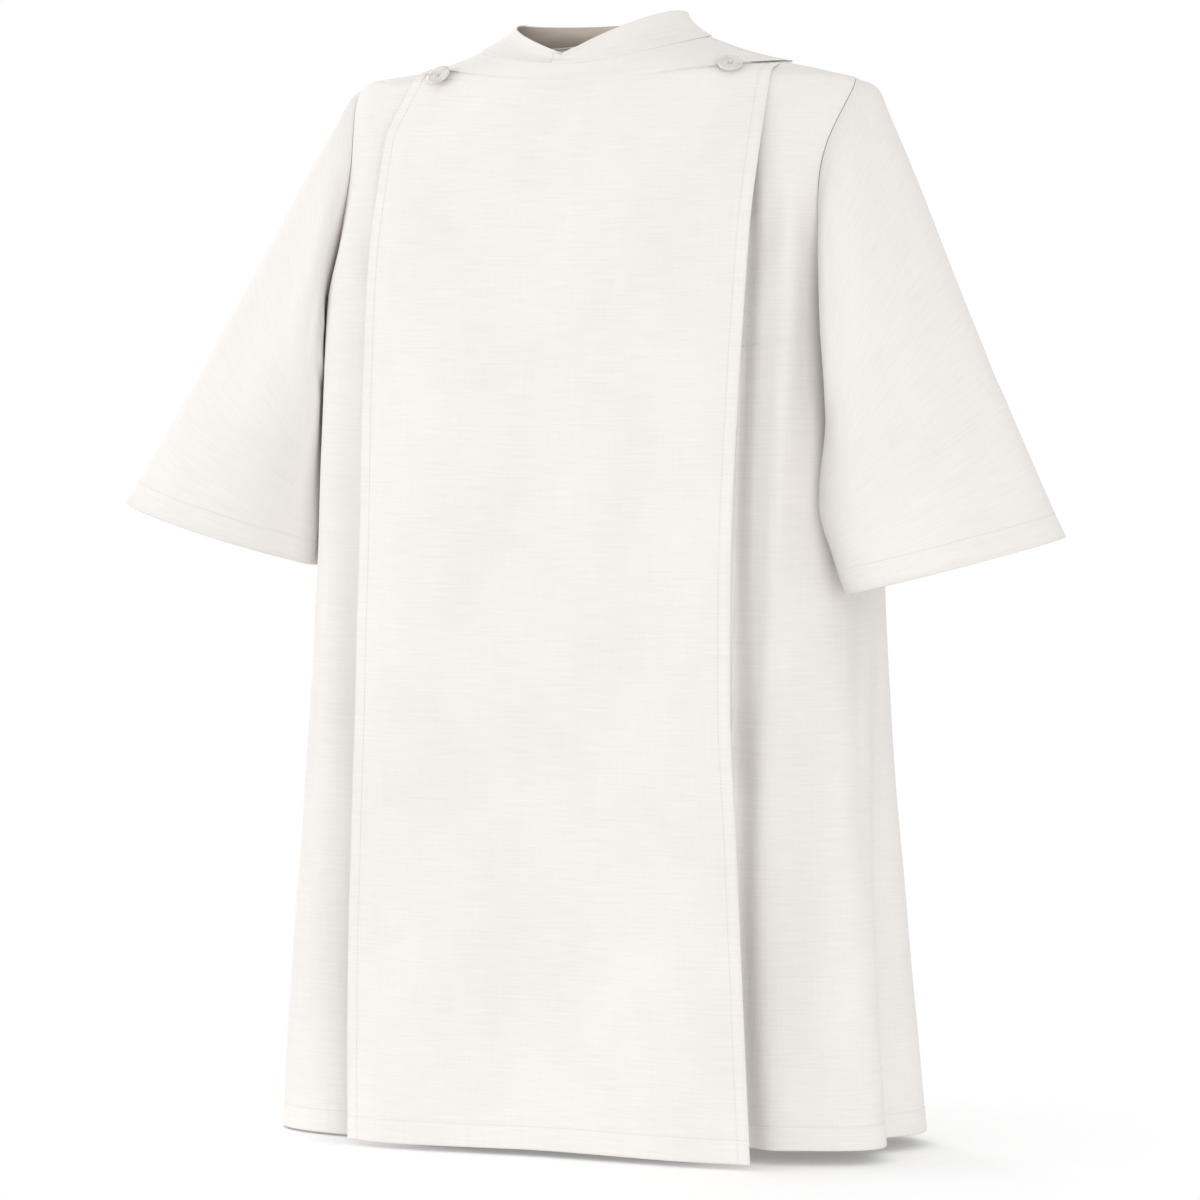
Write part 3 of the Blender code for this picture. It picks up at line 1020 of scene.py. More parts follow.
@dataclass
class BodyCloth:
    """The back and the two side fronts, from the neck seam to the hem.

    Attributes:
        rows: rows above the armholes, beside them and below them.
        hem_width: from the hem's edge to its stitches.
        hem_rows: how many finer rows lie over the hem.
        hem_reach: how far the finer rows reach up.
        free_edge_width: from a side front's free edge to its stitches.
        back_columns: columns of the back.
        front_columns: columns of a side front.
        free_edge_turn: bearing of a side front's free edge, in degrees.
        calm: how far from a seam the cloth lies still.
        creases: bearing in degrees and height of each crease's start and of its end, then
            its depth, half width and bow, and its fade where it has one of its own.
        back_cut: flat width and length of the back, and its area.
        front_cut: the same for a side front.
    """

    rows: tuple[int, int, int] = (16, 56, 132)
    hem_width: float = 0.022
    hem_rows: int = 20
    hem_reach: float = 0.030
    free_edge_width: float = 0.011
    back_columns: int = 176
    front_columns: int = 66
    free_edge_turn: float = 31.5
    calm: float = 0.030
    creases: tuple[tuple[float, ...], ...] = (
        (58, -0.24, 70, -0.10, -0.0022, 0.013, 0.004),
        (57, -0.30, 66, -0.17, 0.0016, 0.016, -0.004),
        (-70, -0.10, -57, -0.25, -0.0020, 0.013, 0.004),
        (63.5, -0.02, 62, -0.75, -0.0150, 0.008, 0.0231, 0.15),
        (58.5, -0.58, 72, -1.40, -0.0090, 0.009, 0.0, 0.15),
        (69.5, -0.02, 73.5, -1.35, 0.0085, 0.015, 0.0297, 0.15),
        (74, -0.02, 78, -0.62, -0.0030, 0.008, 0.004),
        (84, -0.40, 82, -0.92, -0.0040, 0.015, 0.006),
        (-71, -0.03, -70, -0.78, 0.0095, 0.024, 0.0, 0.28),
        (-50, -0.44, -54, -1.10, -0.0030, 0.020, -0.006),
        (-74, -0.58, -72, -1.10, 0.0024, 0.018, 0.004),
        (118, -0.16, 134, -0.34, -0.0058, 0.020, -0.008),
        (114, -0.27, 140, -0.50, 0.0050, 0.022, -0.010),
        (242, -0.15, 228, -0.36, -0.0060, 0.021, 0.008),
        (247, -0.26, 222, -0.46, 0.0048, 0.022, 0.010),
        (154, -0.06, 158, -0.62, -0.0056, 0.022, 0.006),
        (205, -0.08, 203, -0.70, -0.0052, 0.024, -0.006),
        (180, -0.10, 178, -0.55, 0.0046, 0.024, 0.004),
        (136, -0.46, 137, -1.30, 0.0058, 0.014, 0.004),
        (173, -0.62, 172, -1.30, 0.0054, 0.013, -0.003),
        (191, -0.50, 192, -1.02, -0.0052, 0.013, 0.004),
        (211, -0.55, 210, -1.30, 0.0060, 0.015, -0.004),
        (228, -0.40, 228, -1.00, -0.0050, 0.014, 0.003),
        (246, -0.52, 245, -1.30, -0.0046, 0.014, -0.003),
    )
    back_cut: Triple = (0.80, 1.08, 0.76)
    front_cut: Triple = (0.31, 1.05, 0.28)

    # The side borders of each piece that are sewn to another one.
    SEAMS = {
        "back": (Border.START, Border.END),
        "side_front_left": (Border.END,),
        "side_front_right": (Border.START,),
    }

    def drape(self) -> Drape:
        """Creases of the body: under each arm, down the skirt and across the back."""
        ends = ((FORM.spot(*row[:2]), FORM.spot(*row[2:4]), row[4:]) for row in self.creases)
        return Drape(tuple(Crease(start, end, *rest) for start, end, rest in ends), unrest=0.0007)

    def levels(self) -> Array:
        """Levels of the rows."""
        return FORM.row_levels(self.rows, FORM.hem, self.hem_reach, self.hem_rows)

    def cut(self, node: str, low: Array, high: Array, columns: int) -> Cloth:
        """A piece of the body between two edges.

        Args:
            node: the solid that the piece stands for.
            low: bearing of the first edge at each level.
            high: bearing of the last edge at each level.
            columns: how many columns of points lie between them, both included.

        Returns:
            The piece with its creases, before its edges are turned.
        """
        levels = self.levels()
        bearing = low[:, None] + (high - low)[:, None] * np.linspace(0, 1, columns)
        lower = ease(2 * levels[:, None] / FORM.hem - 1)
        z = FORM.heights(levels[:, None], bearing) + FORM.hem_tilt * np.sin(bearing) * lower
        cloth = Cloth.cut(f"{node}_cloth", FORM.surface(bearing, z))
        seams = (Border.TOP, *self.SEAMS[node])
        near_seam = np.min([cloth.from_border(border) for border in seams], axis=0)
        relief = self.drape().relief(bearing * FORM.fold_arc, -z)
        cloth.moved_out(relief * ease(near_seam / self.calm))
        return cloth

    def build(self, made: Finishes) -> None:
        """Builds the back and both side fronts, hemmed at the foot and the free edges.

        Args:
            made: the materials.
        """
        edge = FORM.side_angle(self.levels())
        free = np.full(len(edge), math.radians(self.free_edge_turn))
        cuts = (
            ("back", math.pi - edge, math.pi + edge, self.back_columns),
            ("side_front_left", free, edge, self.front_columns),
            ("side_front_right", -edge, -free, self.front_columns),
        )
        for node, low, high, columns in cuts:
            seams = self.SEAMS[node]
            hems = ((Border.FOOT, self.hem_width),) + tuple(
                (border, self.free_edge_width)
                for border in (Border.START, Border.END)
                if border not in seams
            )
            flat_cut = self.back_cut if node == "back" else self.front_cut
            cloth = self.cut(node, low, high, columns)
            HungPiece(node, cloth, hems, (*seams, Border.TOP), flat_cut).build(made)


@dataclass
class PanelCloth:
    """The wide front panel, sewn in at the neck and free along both sides and its foot.

    Attributes:
        sizes: how far the panel's middle hangs to the side, half its width, and how far
            its middle and its edges stand off the body, from the shoulder to the hem.
        rows: rows above the armholes, beside them and below them.
        columns: columns of points, crowded towards both edges.
        crowding: how strongly they are crowded.
        drop: how far its hem hangs below the body's.
        hem_width: from the hem's edge to its stitches.
        hem_rows: how many finer rows lie over the hem.
        hem_reach: how far the finer rows reach up.
        edge_width: from a side edge to its stitches.
        margin: width of the margin that is pressed back along the wearer's right edge.
        margin_back: how far that edge is pressed back.
        margin_power: power that sharpens the margin's bend.
        edge_flare: how far the wearer's left edge stands out.
        flare_width: width over which it does.
        hang_start: depth below the neck seam where the margin and the flare begin.
        hang_reach: how much deeper they have their full size.
        calm: how far below the neck seam the panel lies still.
        neck_allowance: how far its neck edge is turned down on to the body.
        halvings: how often the search for an edge halves its stretch.
        flat_cut: flat width, length and area of the panel's cut.
    """

    sizes: Table = Table(
        ("z", "shift", "half_width", "middle_lift", "edge_lift"),
        (
            (0.020, 0.008, 0.178, 0.0038, 0.0024),
            (-0.018, 0.012, 0.178, 0.0042, 0.0025),
            (-0.045, 0.0085, 0.1815, 0.0044, 0.0044),
            (-0.095, 0.002, 0.187, 0.0049, 0.0100),
            (-0.190, 0.001, 0.186, 0.0060, 0.0170),
            (-0.330, 0.002, 0.182, 0.0080, 0.0230),
            (-0.470, 0.002, 0.179, 0.0100, 0.0270),
            (-0.610, 0.002, 0.180, 0.0110, 0.0300),
            (-0.750, 0.002, 0.186, 0.0110, 0.0310),
            (-0.890, 0.002, 0.192, 0.0110, 0.0320),
            (-1.060, 0.003, 0.198, 0.0110, 0.0330),
        ),
    )
    rows: tuple[int, int, int] = (22, 46, 132)
    columns: int = 99
    crowding: float = 1.2
    drop: float = 0.001
    hem_width: float = 0.022
    hem_rows: int = 20
    hem_reach: float = 0.030
    edge_width: float = 0.011
    margin: float = 0.030
    margin_back: float = 0.0045
    margin_power: float = 0.7
    edge_flare: float = 0.0015
    flare_width: float = 0.016
    hang_start: float = 0.06
    hang_reach: float = 0.10
    calm: float = 0.050
    neck_allowance: float = 0.0026
    halvings: int = 40
    flat_cut: Triple = (0.41, 1.07, 0.42)

    def drape(self) -> Drape:
        """The panel hangs almost flat, with a few long and very soft folds.

        Returns:
            Its creases.
        """
        return Drape(
            (
                Crease((-0.105, 0.30), (-0.120, 1.12), 0.0018, 0.034, 0.006),
                Crease((0.060, 0.42), (0.078, 1.12), -0.0016, 0.040, -0.005),
                Crease((-0.030, 0.52), (-0.026, 1.12), -0.0013, 0.030, 0.004),
                Crease((0.140, 0.10), (0.120, 0.52), -0.0012, 0.026, 0.005),
                Crease((-0.130, 0.08), (-0.060, 0.26), -0.0010, 0.024, 0.008),
                Crease((0.135, 0.060), (0.070, 0.20), 0.0010, 0.022, -0.006),
            ),
            unrest=0.0006,
            phase=1.3,
        )

    def edge_angle(self, levels: Array, side: Side) -> Array:
        """Bearing of one side edge at each level: where the body is as wide as the panel.

        It is sought from the centre front to the shoulder seam, and stops at the shoulder
        seam where the body is narrower.

        Args:
            levels: the levels.
            side: the wearer's side.

        Returns:
            One bearing in radians for each level.
        """
        half_width, shift = (self.sizes.read(name, levels) for name in ("half_width", "shift"))
        reach = half_width + side.value * shift

        def past(bearing: Array) -> Array:
            """Where the body reaches further to the side than the panel."""
            return FORM.surface(bearing, FORM.heights(levels, bearing), False)[:, 0] > reach

        front, seam = np.zeros(len(levels)), np.full(len(levels), math.pi / 2)
        _, edge = halved(front, seam, past, self.halvings)
        return side.value * np.minimum(edge, math.pi / 2 - FORM.seam_gap / 2 / reach)

    def cut(self) -> Cloth:
        """The panel with its creases, its pressed margin and its flared edge.

        With s from -1 to 1 across it, a column lies at s = sin(crowding x even) /
        sin(crowding), and the panel stands off the body by middle + (edge - middle) x s^2.

        Returns:
            The panel, before its edges are turned.
        """
        foot = FORM.hem - self.drop
        levels = FORM.row_levels(self.rows, foot, self.hem_reach, self.hem_rows)
        right, left = (self.edge_angle(levels, side)[:, None] for side in (Side.RIGHT, Side.LEFT))
        even = np.linspace(-1, 1, self.columns)
        share = np.sin(even * self.crowding) / math.sin(self.crowding)
        bearing = right + (left - right) * (1 + share) / 2
        z = FORM.heights(levels[:, None], bearing)
        middle, edge = (
            self.sizes.read(name, levels)[:, None] for name in ("middle_lift", "edge_lift")
        )
        lift = middle + (edge - middle) * share**2
        base = FORM.surface(bearing, z, False)
        face = base + FORM.plain_normals(bearing, z) * lift[..., None]
        cloth = Cloth.cut("front_panel_cloth", face)
        below_neck = ease(cloth.from_border(Border.TOP) / self.calm)
        relief = self.drape().relief(face[..., 0], -z) * below_neck
        pressed = ease(1 - cloth.from_border(Border.START) / self.margin) ** self.margin_power
        flared = (1 - np.clip(cloth.from_border(Border.END) / self.flare_width, 0, 1)) ** 2
        hangs = ease((-z - self.hang_start) / self.hang_reach)
        cloth.moved_out(relief + hangs * (self.edge_flare * flared - self.margin_back * pressed))
        return cloth

    def build(self, made: Finishes) -> None:
        """Builds the panel with its stitched hem and side edges.

        Args:
            made: the materials.
        """
        hems = (
            (Border.FOOT, self.hem_width),
            (Border.START, self.edge_width),
            (Border.END, self.edge_width),
        )
        piece = HungPiece(
            "front_panel", self.cut(), hems, (Border.TOP,), self.flat_cut, self.neck_allowance
        )
        piece.build(made)


@dataclass
class SleeveCloth:
    """A bell sleeve, set into the armhole and open at its hem.

    The sleeve is worked out for the wearer's left and turned over for the right.

    Attributes:
        side: the wearer's side.
        outer_end: the outer end of the hem's ring.
        inner_end: its inner end.
        half_depth: half of the ring's depth, from front to back.
        creases: the sleeve's own creases.
        around: columns of points round the sleeve.
        down: rows of points down it.
        crowding: power that brings the rows closer at the armhole.
        seam_turn: how far its underarm seam lies behind the lowest line, in radians.
        seam: how far off the armhole the sleeve starts.
        seam_allowance: how far its edges go on inside.
        clear: how far it stays clear of the body.
        clear_round: how gently it bends off that clearance.
        clear_reach: share of its length over which it comes clear.
        leave_top: how the cloth leaves the armhole at its top.
        leave_foot: how it leaves at its foot.
        leave_front: what is added to that at the front.
        leave_back: what is added at the back.
        arrive_top: how straight the top arrives at the hem.
        arrive_foot: how straight the foot does.
        hem_width: from the hem's edge to its stitches.
        turn_arc: metres round the sleeve for each radian, for placing creases.
        drop: length of the sleeve, for placing creases.
        calm: how far from the armhole the cloth lies still.
        flat_cut: flat width, length and area of the sleeve's cut.
    """

    side: Side
    outer_end: Triple
    inner_end: Triple
    half_depth: float
    creases: tuple[Crease, ...]
    around: int = 113
    down: int = 92
    crowding: float = 1.25
    seam_turn: float = 0.45
    seam: float = 0.0002
    seam_allowance: float = 0.003
    clear: float = 0.011
    clear_round: float = 0.006
    clear_reach: float = 0.12
    leave_top: Triple = (0.029, 0.0, -0.006)
    leave_foot: Triple = (0.006, 0.0, -0.060)
    leave_front: Triple = (-0.004, -0.068, -0.050)
    leave_back: Triple = (0.010, 0.018, -0.020)
    arrive_top: float = 0.62
    arrive_foot: float = 0.30
    hem_width: float = 0.024
    turn_arc: float = 0.085
    drop: float = 0.44
    calm: float = 0.025
    flat_cut: Triple = (0.52, 0.48, 0.18)

    def surface(self, turn: Array, fall: Array) -> Array:
        """Points of the left sleeve.

        Each column is a cubic curve from the armhole's ring to the hem's ring: start x r^3
        + 3 (start + leave) r^2 f + 3 (hem - arrive) r f^2 + hem x f^3, with f the share
        fallen and r = 1 - f. Then no point is nearer to the body than the clearance: past
        it by p, a point is put (p + sqrt(p^2 + round^2)) / 2 past it.

        Args:
            turn: the angle round the sleeve, from its top forwards, in radians.
            fall: the share of the way from the armhole to the hem.

        Returns:
            One point for each turn and fall.
        """
        outer_end, inner_end = np.array(self.outer_end), np.array(self.inner_end)
        centre, across = (outer_end + inner_end) / 2, (outer_end - inner_end) / 2
        ahead = unit(np.array([across[1], -across[0], 0.0])) * self.half_depth
        cosine, sine = np.cos(turn)[..., None], np.sin(turn)[..., None]
        hem = centre + across * cosine + ahead * sine
        start = FORM.armhole_ring(turn) + np.array([self.seam, 0.0, 0.0])
        top = (1 + cosine) / 2
        leave = np.array(self.leave_top) * top + np.array(self.leave_foot) * (1 - top)
        leave = leave + np.array(self.leave_front) * np.clip(sine, 0, 1)
        leave = leave + np.array(self.leave_back) * np.clip(-sine, 0, 1)
        slope = outer_end - FORM.armhole_ring(np.zeros(1))[0]
        arrive = slope * (self.arrive_top * top + self.arrive_foot * (1 - top))
        f = fall[..., None]
        r = 1 - f
        point = start * r**3 + 3 * (start + leave) * r**2 * f
        point = point + 3 * (hem - arrive) * r * f**2 + hem * f**3
        come_clear = ease(fall / self.clear_reach)
        least = FORM.side_reach(point[..., 1], point[..., 2]) + self.seam
        least = least + self.clear * come_clear
        past = point[..., 0] - least
        point[..., 0] = least + (past + np.hypot(past, self.clear_round * come_clear)) / 2
        return point

    def cut(self) -> Cloth:
        """The sleeve from its underarm seam round to it again, with its creases.

        Returns:
            The sleeve, before its edges are turned.
        """
        turn = self.seam_turn + np.linspace(math.pi, -math.pi, self.around)
        turn = turn + np.zeros((self.down, 1))
        fall = np.linspace(0, 1, self.down)[:, None] ** self.crowding + 0 * turn
        cloth = Cloth.cut(f"sleeve_{self.side.name.lower()}_cloth", self.surface(turn, fall))
        still = ease(cloth.from_border(Border.TOP) / self.calm)
        drape = Drape(self.creases, unrest=0.0007, phase=2.1 * self.side.value)
        cloth.moved_out(drape.relief(turn * self.turn_arc, fall * self.drop) * still)
        return cloth

    def build(self, made: Finishes) -> None:
        """Builds the sleeve with its stitched hem, its armhole seam and underarm seam.

        Args:
            made: the materials.
        """
        node = f"sleeve_{self.side.name.lower()}"
        hems = ((Border.FOOT, self.hem_width),)
        seams = (Border.START, Border.END, Border.TOP)
        piece = HungPiece(
            node, self.cut(), hems, seams, self.flat_cut, self.seam_allowance, self.side
        )
        piece.build(made)


@dataclass
class CollarCloth:
    """The standing collar band: two layers, with its ends crossed at the front.

    Attributes:
        half_width: half of the rim's width.
        front: the rim's depth to the front.
        back: its depth to the back.
        side_rise: height of the rim at the sides.
        back_rise: its height at the back.
        notch: height of the notch at the front.
        notch_turn: bearing of the notch, in degrees.
        tilt: slope of the rim towards the wearer's left.
        hollow: how far the band curves in between its foot and its rim.
        seam: gap to the body pieces at its foot.
        foot_allowance: how far its foot is turned in.
        panel_lift: how far the front panel holds its foot off the body.
        lift_turn: cosine over which that lift dies away behind the sides.
        over_turn: bearing of the end that lies on top, in degrees.
        under_turn: bearing of the end that lies beneath, in degrees.
        over_lift: how far the upper end is lifted.
        lift_fade: over how many degrees that lift dies away.
        columns: columns of points round the band.
        rows: rows of points from its rim to its foot.
        wall: wall of its two layers.
        flat_cut: flat width, length and area of the band's cut.
    """

    half_width: float = 0.0834
    front: float = 0.090
    back: float = 0.062
    side_rise: float = 0.026
    back_rise: float = 0.021
    notch: float = -0.012
    notch_turn: float = -4.0
    tilt: float = 0.062
    hollow: float = 0.004
    seam: float = 0.0003
    foot_allowance: float = 0.002
    panel_lift: float = 0.0042
    lift_turn: float = 0.2
    over_turn: float = -9.0
    under_turn: float = 364.5
    over_lift: float = 0.0023
    lift_fade: float = 45.0
    columns: int = 250
    rows: int = 24
    wall: float = 0.0017
    flat_cut: Triple = (0.66, 0.045, 0.0165)

    def rim(self, bearing: Array) -> Array:
        """The upper edge: an ellipse that drops in straight lines to the front notch.

        Args:
            bearing: bearings in radians.

        Returns:
            One point for each bearing.
        """
        sine, cosine = np.sin(bearing), np.cos(bearing)
        depth = np.where(cosine > 0, self.front, self.back)
        radius = ((sine / self.half_width) ** 2 + (cosine / depth) ** 2) ** -0.5
        from_notch = np.abs(np.sin(bearing - math.radians(self.notch_turn)))
        front = self.notch + (self.side_rise - self.notch) * from_notch
        back = self.side_rise + (self.back_rise - self.side_rise) * np.abs(cosine)
        height = np.where(cosine > 0, front, back) + self.tilt * radius * sine
        return np.stack([radius * sine, -radius * cosine, height], axis=-1)

    def surface(self, bearing: Array, up: Array) -> Array:
        """Points of the band: straight from the neck seam (0) to the rim (1), hollowed.

        The hollow moves a point inwards by hollow x 4 x up x (1 - up).

        Args:
            bearing: bearings in radians.
            up: shares of the way from the seam to the rim.

        Returns:
            One point for each bearing and share.
        """
        z = FORM.neck_height(bearing)
        lift = self.panel_lift * ease((np.cos(bearing) + self.lift_turn) / self.lift_turn)
        base = FORM.surface(bearing, z, False) + FORM.plain_normals(bearing, z) * lift[..., None]
        base = base + np.array([0.0, 0.0, self.seam])
        share = up[..., None]
        inward = np.stack([-np.sin(bearing), np.cos(bearing), 0 * bearing], axis=-1)
        hollowed = inward * self.hollow * 4 * share * (1 - share)
        return base * (1 - share) + self.rim(bearing) * share + hollowed

    def build(self, made: Finishes) -> None:
        """Builds the band with its inner face coloured darker as painted shade, its turned rim and
        ends, and its neck seam.

        Args:
            made: the materials.
        """
        turn = np.linspace(self.over_turn, self.under_turn, self.columns)
        bearing, up = np.meshgrid(np.radians(turn), np.linspace(1, 0, self.rows))
        cloth = Cloth.cut("collar_cloth", self.surface(bearing, up))
        past_end = np.degrees(bearing) - self.over_turn
        cloth.moved_out(self.over_lift * (1 - ease(past_end / self.lift_fade)))
        cloth.wall[:] = self.wall
        cloth.seamed(Border.FOOT, self.foot_allowance)
        # The collar's inner face is coloured darker: painted shade where the collar shades itself.
        shell = dressed(cloth.built(made.cloth, inner_painted_shade=made.inner_painted_shade), Slot.CLOTH, "collar")


@dataclass(frozen=True)
class ButtonPlace:
    """Where a button is sewn on.

    Attributes:
        name: the button's node.
        degrees: its bearing.
        turn: how far its holes are turned round its axis, in degrees.
    """

    name: str
    degrees: float
    turn: float


@dataclass(frozen=True)
class Thread:
    """A length of round sewing thread.

    Attributes:
        radius: its radius.
        last_ring: share of half its length at which its last ring lies.
        taper: power that keeps it thick up to its ends.
        unlike: a direction that no thread runs along.
    """

    radius: float = 0.00034
    last_ring: float = 0.99
    taper: int = 8
    unlike: Triple = (0.01, 0.01, 1.01)

    # The corners of the two faces that close an end of a six-sided thread.
    SIDES = 6
    END = np.array([(0, 1, 2, 3), (3, 4, 5, 0)])

    def tube(self, path: Array) -> tuple[Array, Array]:
        """The thread laid along a path: its radius falls as 1 - s^taper to both ends.

        Args:
            path: points of its middle line; s runs from -1 to 1 along them.

        Returns:
            Points, and the numbers of each face's four corners.
        """
        along = unit(np.gradient(path, axis=0))
        side = unit(np.cross(along, np.array(self.unlike)))
        rise = np.cross(along, side)
        share = np.linspace(-self.last_ring, self.last_ring, len(path))
        radius = self.radius * (1 - share**self.taper)[:, None, None]
        turn = (np.arange(self.SIDES) * math.pi / 3)[:, None]
        around = side[:, None] * np.cos(turn) + rise[:, None] * np.sin(turn)
        points = (path[:, None] + around * radius).reshape(-1, 3)
        index = np.arange(len(points)).reshape(-1, self.SIDES)
        ends = index[0, self.END], index[-1, self.END[:, ::-1]]
        return points, np.concatenate([walls_between(index), *ends])


@dataclass(frozen=True)
class Buttonhole:
    """The worked edge of a buttonhole that lies across the shoulder.

    Attributes:
        half_length: half of its length.
        lift: how far its stitches lie off the body's surface.
        count: how many stitches stand side by side in each of its two rows.
        stations: how many rings a stitch has along its length.
        near: distance from the slit at which a stitch starts.
        far: distance at which it ends.
        fall: how much a stitch's level changes for each metre away from the slit.
        bow: how far a stitch's middle stands out.
        radius: half of a stitch's thickness.
    """

    half_length: float = 0.0142
    lift: float = 0.0050
    count: int = 33
    stations: int = 5
    near: float = 0.0002
    far: float = 0.0016
    fall: float = 0.4
    bow: float = 0.00015
    radius: float = 0.0003

    def work(self, sewing: Sewing, middle: float, level: float) -> None:
        """Adds the stitches, short threads that lie at right angles to the slit.

        Args:
            sewing: the object that gathers them.
            middle: bearing of the slit's middle, in radians.
            level: its level below the neck seam.
        """
        reach = np.linalg.norm(FORM.surface(middle, level)[:2])
        bow = self.bow * (1 - np.linspace(-1, 1, self.stations) ** 2)
        index = np.arange(self.stations * 4).reshape(self.stations, 4)
        faces = np.concatenate([walls_between(index), index[:1], index[-1:, ::-1]])
        for row in (-1, 1):
            down = np.linspace(self.near, self.far, self.stations) * row
            for place in np.linspace(-1, 1, self.count) * self.half_length:
                bearing = middle + place / reach + np.zeros(self.stations)
                z = FORM.heights(level + down * self.fall, bearing)
                out = FORM.plain_normals(bearing, z)
                path = FORM.surface(bearing, z, False) + out * (self.lift + bow)[:, None]
                side = unit(np.cross(out, np.gradient(path, axis=0)))
                beside, above = side * self.radius, out * self.radius
                ring = np.stack([path + beside, path + above, path - beside, path - above], axis=1)
                sewing.add(ring.reshape(-1, 3), faces)


@dataclass
class ButtonSet:
    """The two shoulder buttons, each with four holes, its thread and its buttonhole.

    Attributes:
        places: where the buttons are.
        level: their level below the neck seam.
        foot_lift: how far a button's foot stands off the body's surface.
        profile: radius and height of its outline, from its foot's middle to its well.
        sides: points round the button.
        hole_ring: distance of the holes from the axis.
        hole_radius: radius of a hole.
        hole_depth: depth of a hole.
        hole_power: power that makes a hole's walls steep.
        well_rings: rings of points in its well, which has the holes in it.
        well_depth: how much deeper the well is in its middle.
        thread: the sewing thread.
        strand_points: points along a strand between two holes.
        strand_past: how far a strand goes past the middle of its hole.
        strand_aside: how far it lies beside the axis, in radii of the thread.
        strand_over: how high its middle lies over the well, in radii of the thread.
        strand_next: how much higher those of the second pair lie.
        strand_drop: how deep its ends go into the holes.
        strand_power: power that keeps the drop near its ends.
        shank_turns: turns of the thread wound under the button.
        shank_points: points along it.
        shank_radius: radius of its turns.
        shank_span: its lowest and highest place along the button's axis.
        buttonhole: the buttonhole under each button.
    """

    places: tuple[ButtonPlace, ...] = (
        ButtonPlace("button_left", 63.5, 18.0),
        ButtonPlace("button_right", -58.0, -31.0),
    )
    level: float = -0.0245
    foot_lift: float = 0.0051
    profile: tuple[tuple[float, float], ...] = (
        (0.0000, 0.00005),
        (0.0070, 0.00000),
        (0.0098, 0.00005),
        (0.0108, 0.00035),
        (0.0117, 0.00090),
        (0.0121, 0.00170),
        (0.0119, 0.00245),
        (0.0113, 0.00298),
        (0.0106, 0.00320),
        (0.0099, 0.00318),
        (0.0091, 0.00300),
        (0.0083, 0.00262),
        (0.0074, 0.00240),
    )
    sides: int = 96
    hole_ring: float = 0.0024
    hole_radius: float = 0.00085
    hole_depth: float = 0.0012
    hole_power: int = 6
    well_rings: int = 44
    well_depth: float = 0.0002
    thread: Thread = Thread()
    strand_points: int = 17
    strand_past: float = 0.0001
    strand_aside: float = 0.8
    strand_over: float = 1.1
    strand_next: float = 1.5
    strand_drop: float = 0.0008
    strand_power: int = 6
    shank_turns: int = 4
    shank_points: int = 97
    shank_radius: float = 0.0011
    shank_span: tuple[float, float] = (-0.0010, 0.0002)
    buttonhole: Buttonhole = Buttonhole()

    def frame(self, place: ButtonPlace) -> tuple[Array, Array]:
        """A button's foot and its axes.

        Args:
            place: where the button is sewn on.

        Returns:
            The foot, and the axes across, up its face and out as matrix columns.
        """
        bearing = np.array([math.radians(place.degrees)])
        z = FORM.heights(np.array([self.level]), bearing)
        out = FORM.plain_normals(bearing, z)[0]
        foot = FORM.surface(bearing, z, False)[0] + out * self.foot_lift
        across = unit(np.cross(np.array([0.0, 1.0, 0.0]), out))
        return foot, np.stack([across, np.cross(out, across), out], axis=1)

    def disc(self) -> tuple[Array, Array]:
        """The button in its own axes: its turned profile, and a well with four holes.

        The well is lower by depth x (1 - (d / radius)^power) inside a hole, with d the
        distance from the hole's middle.

        Returns:
            Points, and the numbers of each face's four corners.
        """
        radii, heights = np.array(self.profile).T
        well = np.linspace(radii[-1], 0.0, self.well_rings)[1:]
        floor = heights[-1] - self.well_depth * (1 - (well / radii[-1]) ** 2)
        radii = np.concatenate([radii, well])
        heights = np.concatenate([heights, floor])
        angle = np.arange(self.sides) * 2 * math.pi / self.sides
        x, y = radii[:, None] * np.cos(angle), radii[:, None] * np.sin(angle)
        z = heights[:, None] + 0 * x
        holes = np.arange(4) * math.pi / 2 + math.pi / 4
        in_well = np.arange(len(radii))[:, None] >= len(self.profile)
        for hole in holes:
            hole_x, hole_y = self.hole_ring * math.cos(hole), self.hole_ring * math.sin(hole)
            away = np.hypot(x - hole_x, y - hole_y) / self.hole_radius
            z = z - self.hole_depth * np.clip(1 - away**self.hole_power, 0, 1) * in_well
        points = np.stack([x, y, z], axis=-1).reshape(-1, 3)
        index = np.arange(len(points)).reshape(len(radii), self.sides)
        return points, np.roll(walls_between(index)[:, ::-1], 1, axis=1)

    def strands(self, sewing: Sewing, foot: Array, axes: Array, turn: float) -> None:
        """Adds the strands that cross between the holes, two lying side by side each way.

        Args:
            sewing: the object that gathers them.
            foot: the button's foot.
            axes: the button's axes.
            turn: how far the holes are turned round the button's axis, in radians.
        """
        share = np.linspace(-1, 1, self.strand_points)
        floor = self.profile[-1][1]
        radius = self.thread.radius
        for number in range(2):
            angle = turn + math.pi / 4 + number * math.pi / 2
            ahead = np.array([math.cos(angle), math.sin(angle)])
            over = radius * (self.strand_over + self.strand_next * number) * (1 - share**2)
            height = floor - self.strand_drop * share**self.strand_power + over
            for offset in (-self.strand_aside, self.strand_aside):
                beside = np.array([-ahead[1], ahead[0]]) * offset * radius
                level = ahead * share[:, None] * (self.hole_ring + self.strand_past) + beside
                path = np.concatenate([level, height[:, None]], axis=1)
                points, faces = self.thread.tube(path)
                sewing.add(foot + points @ axes.T, faces)

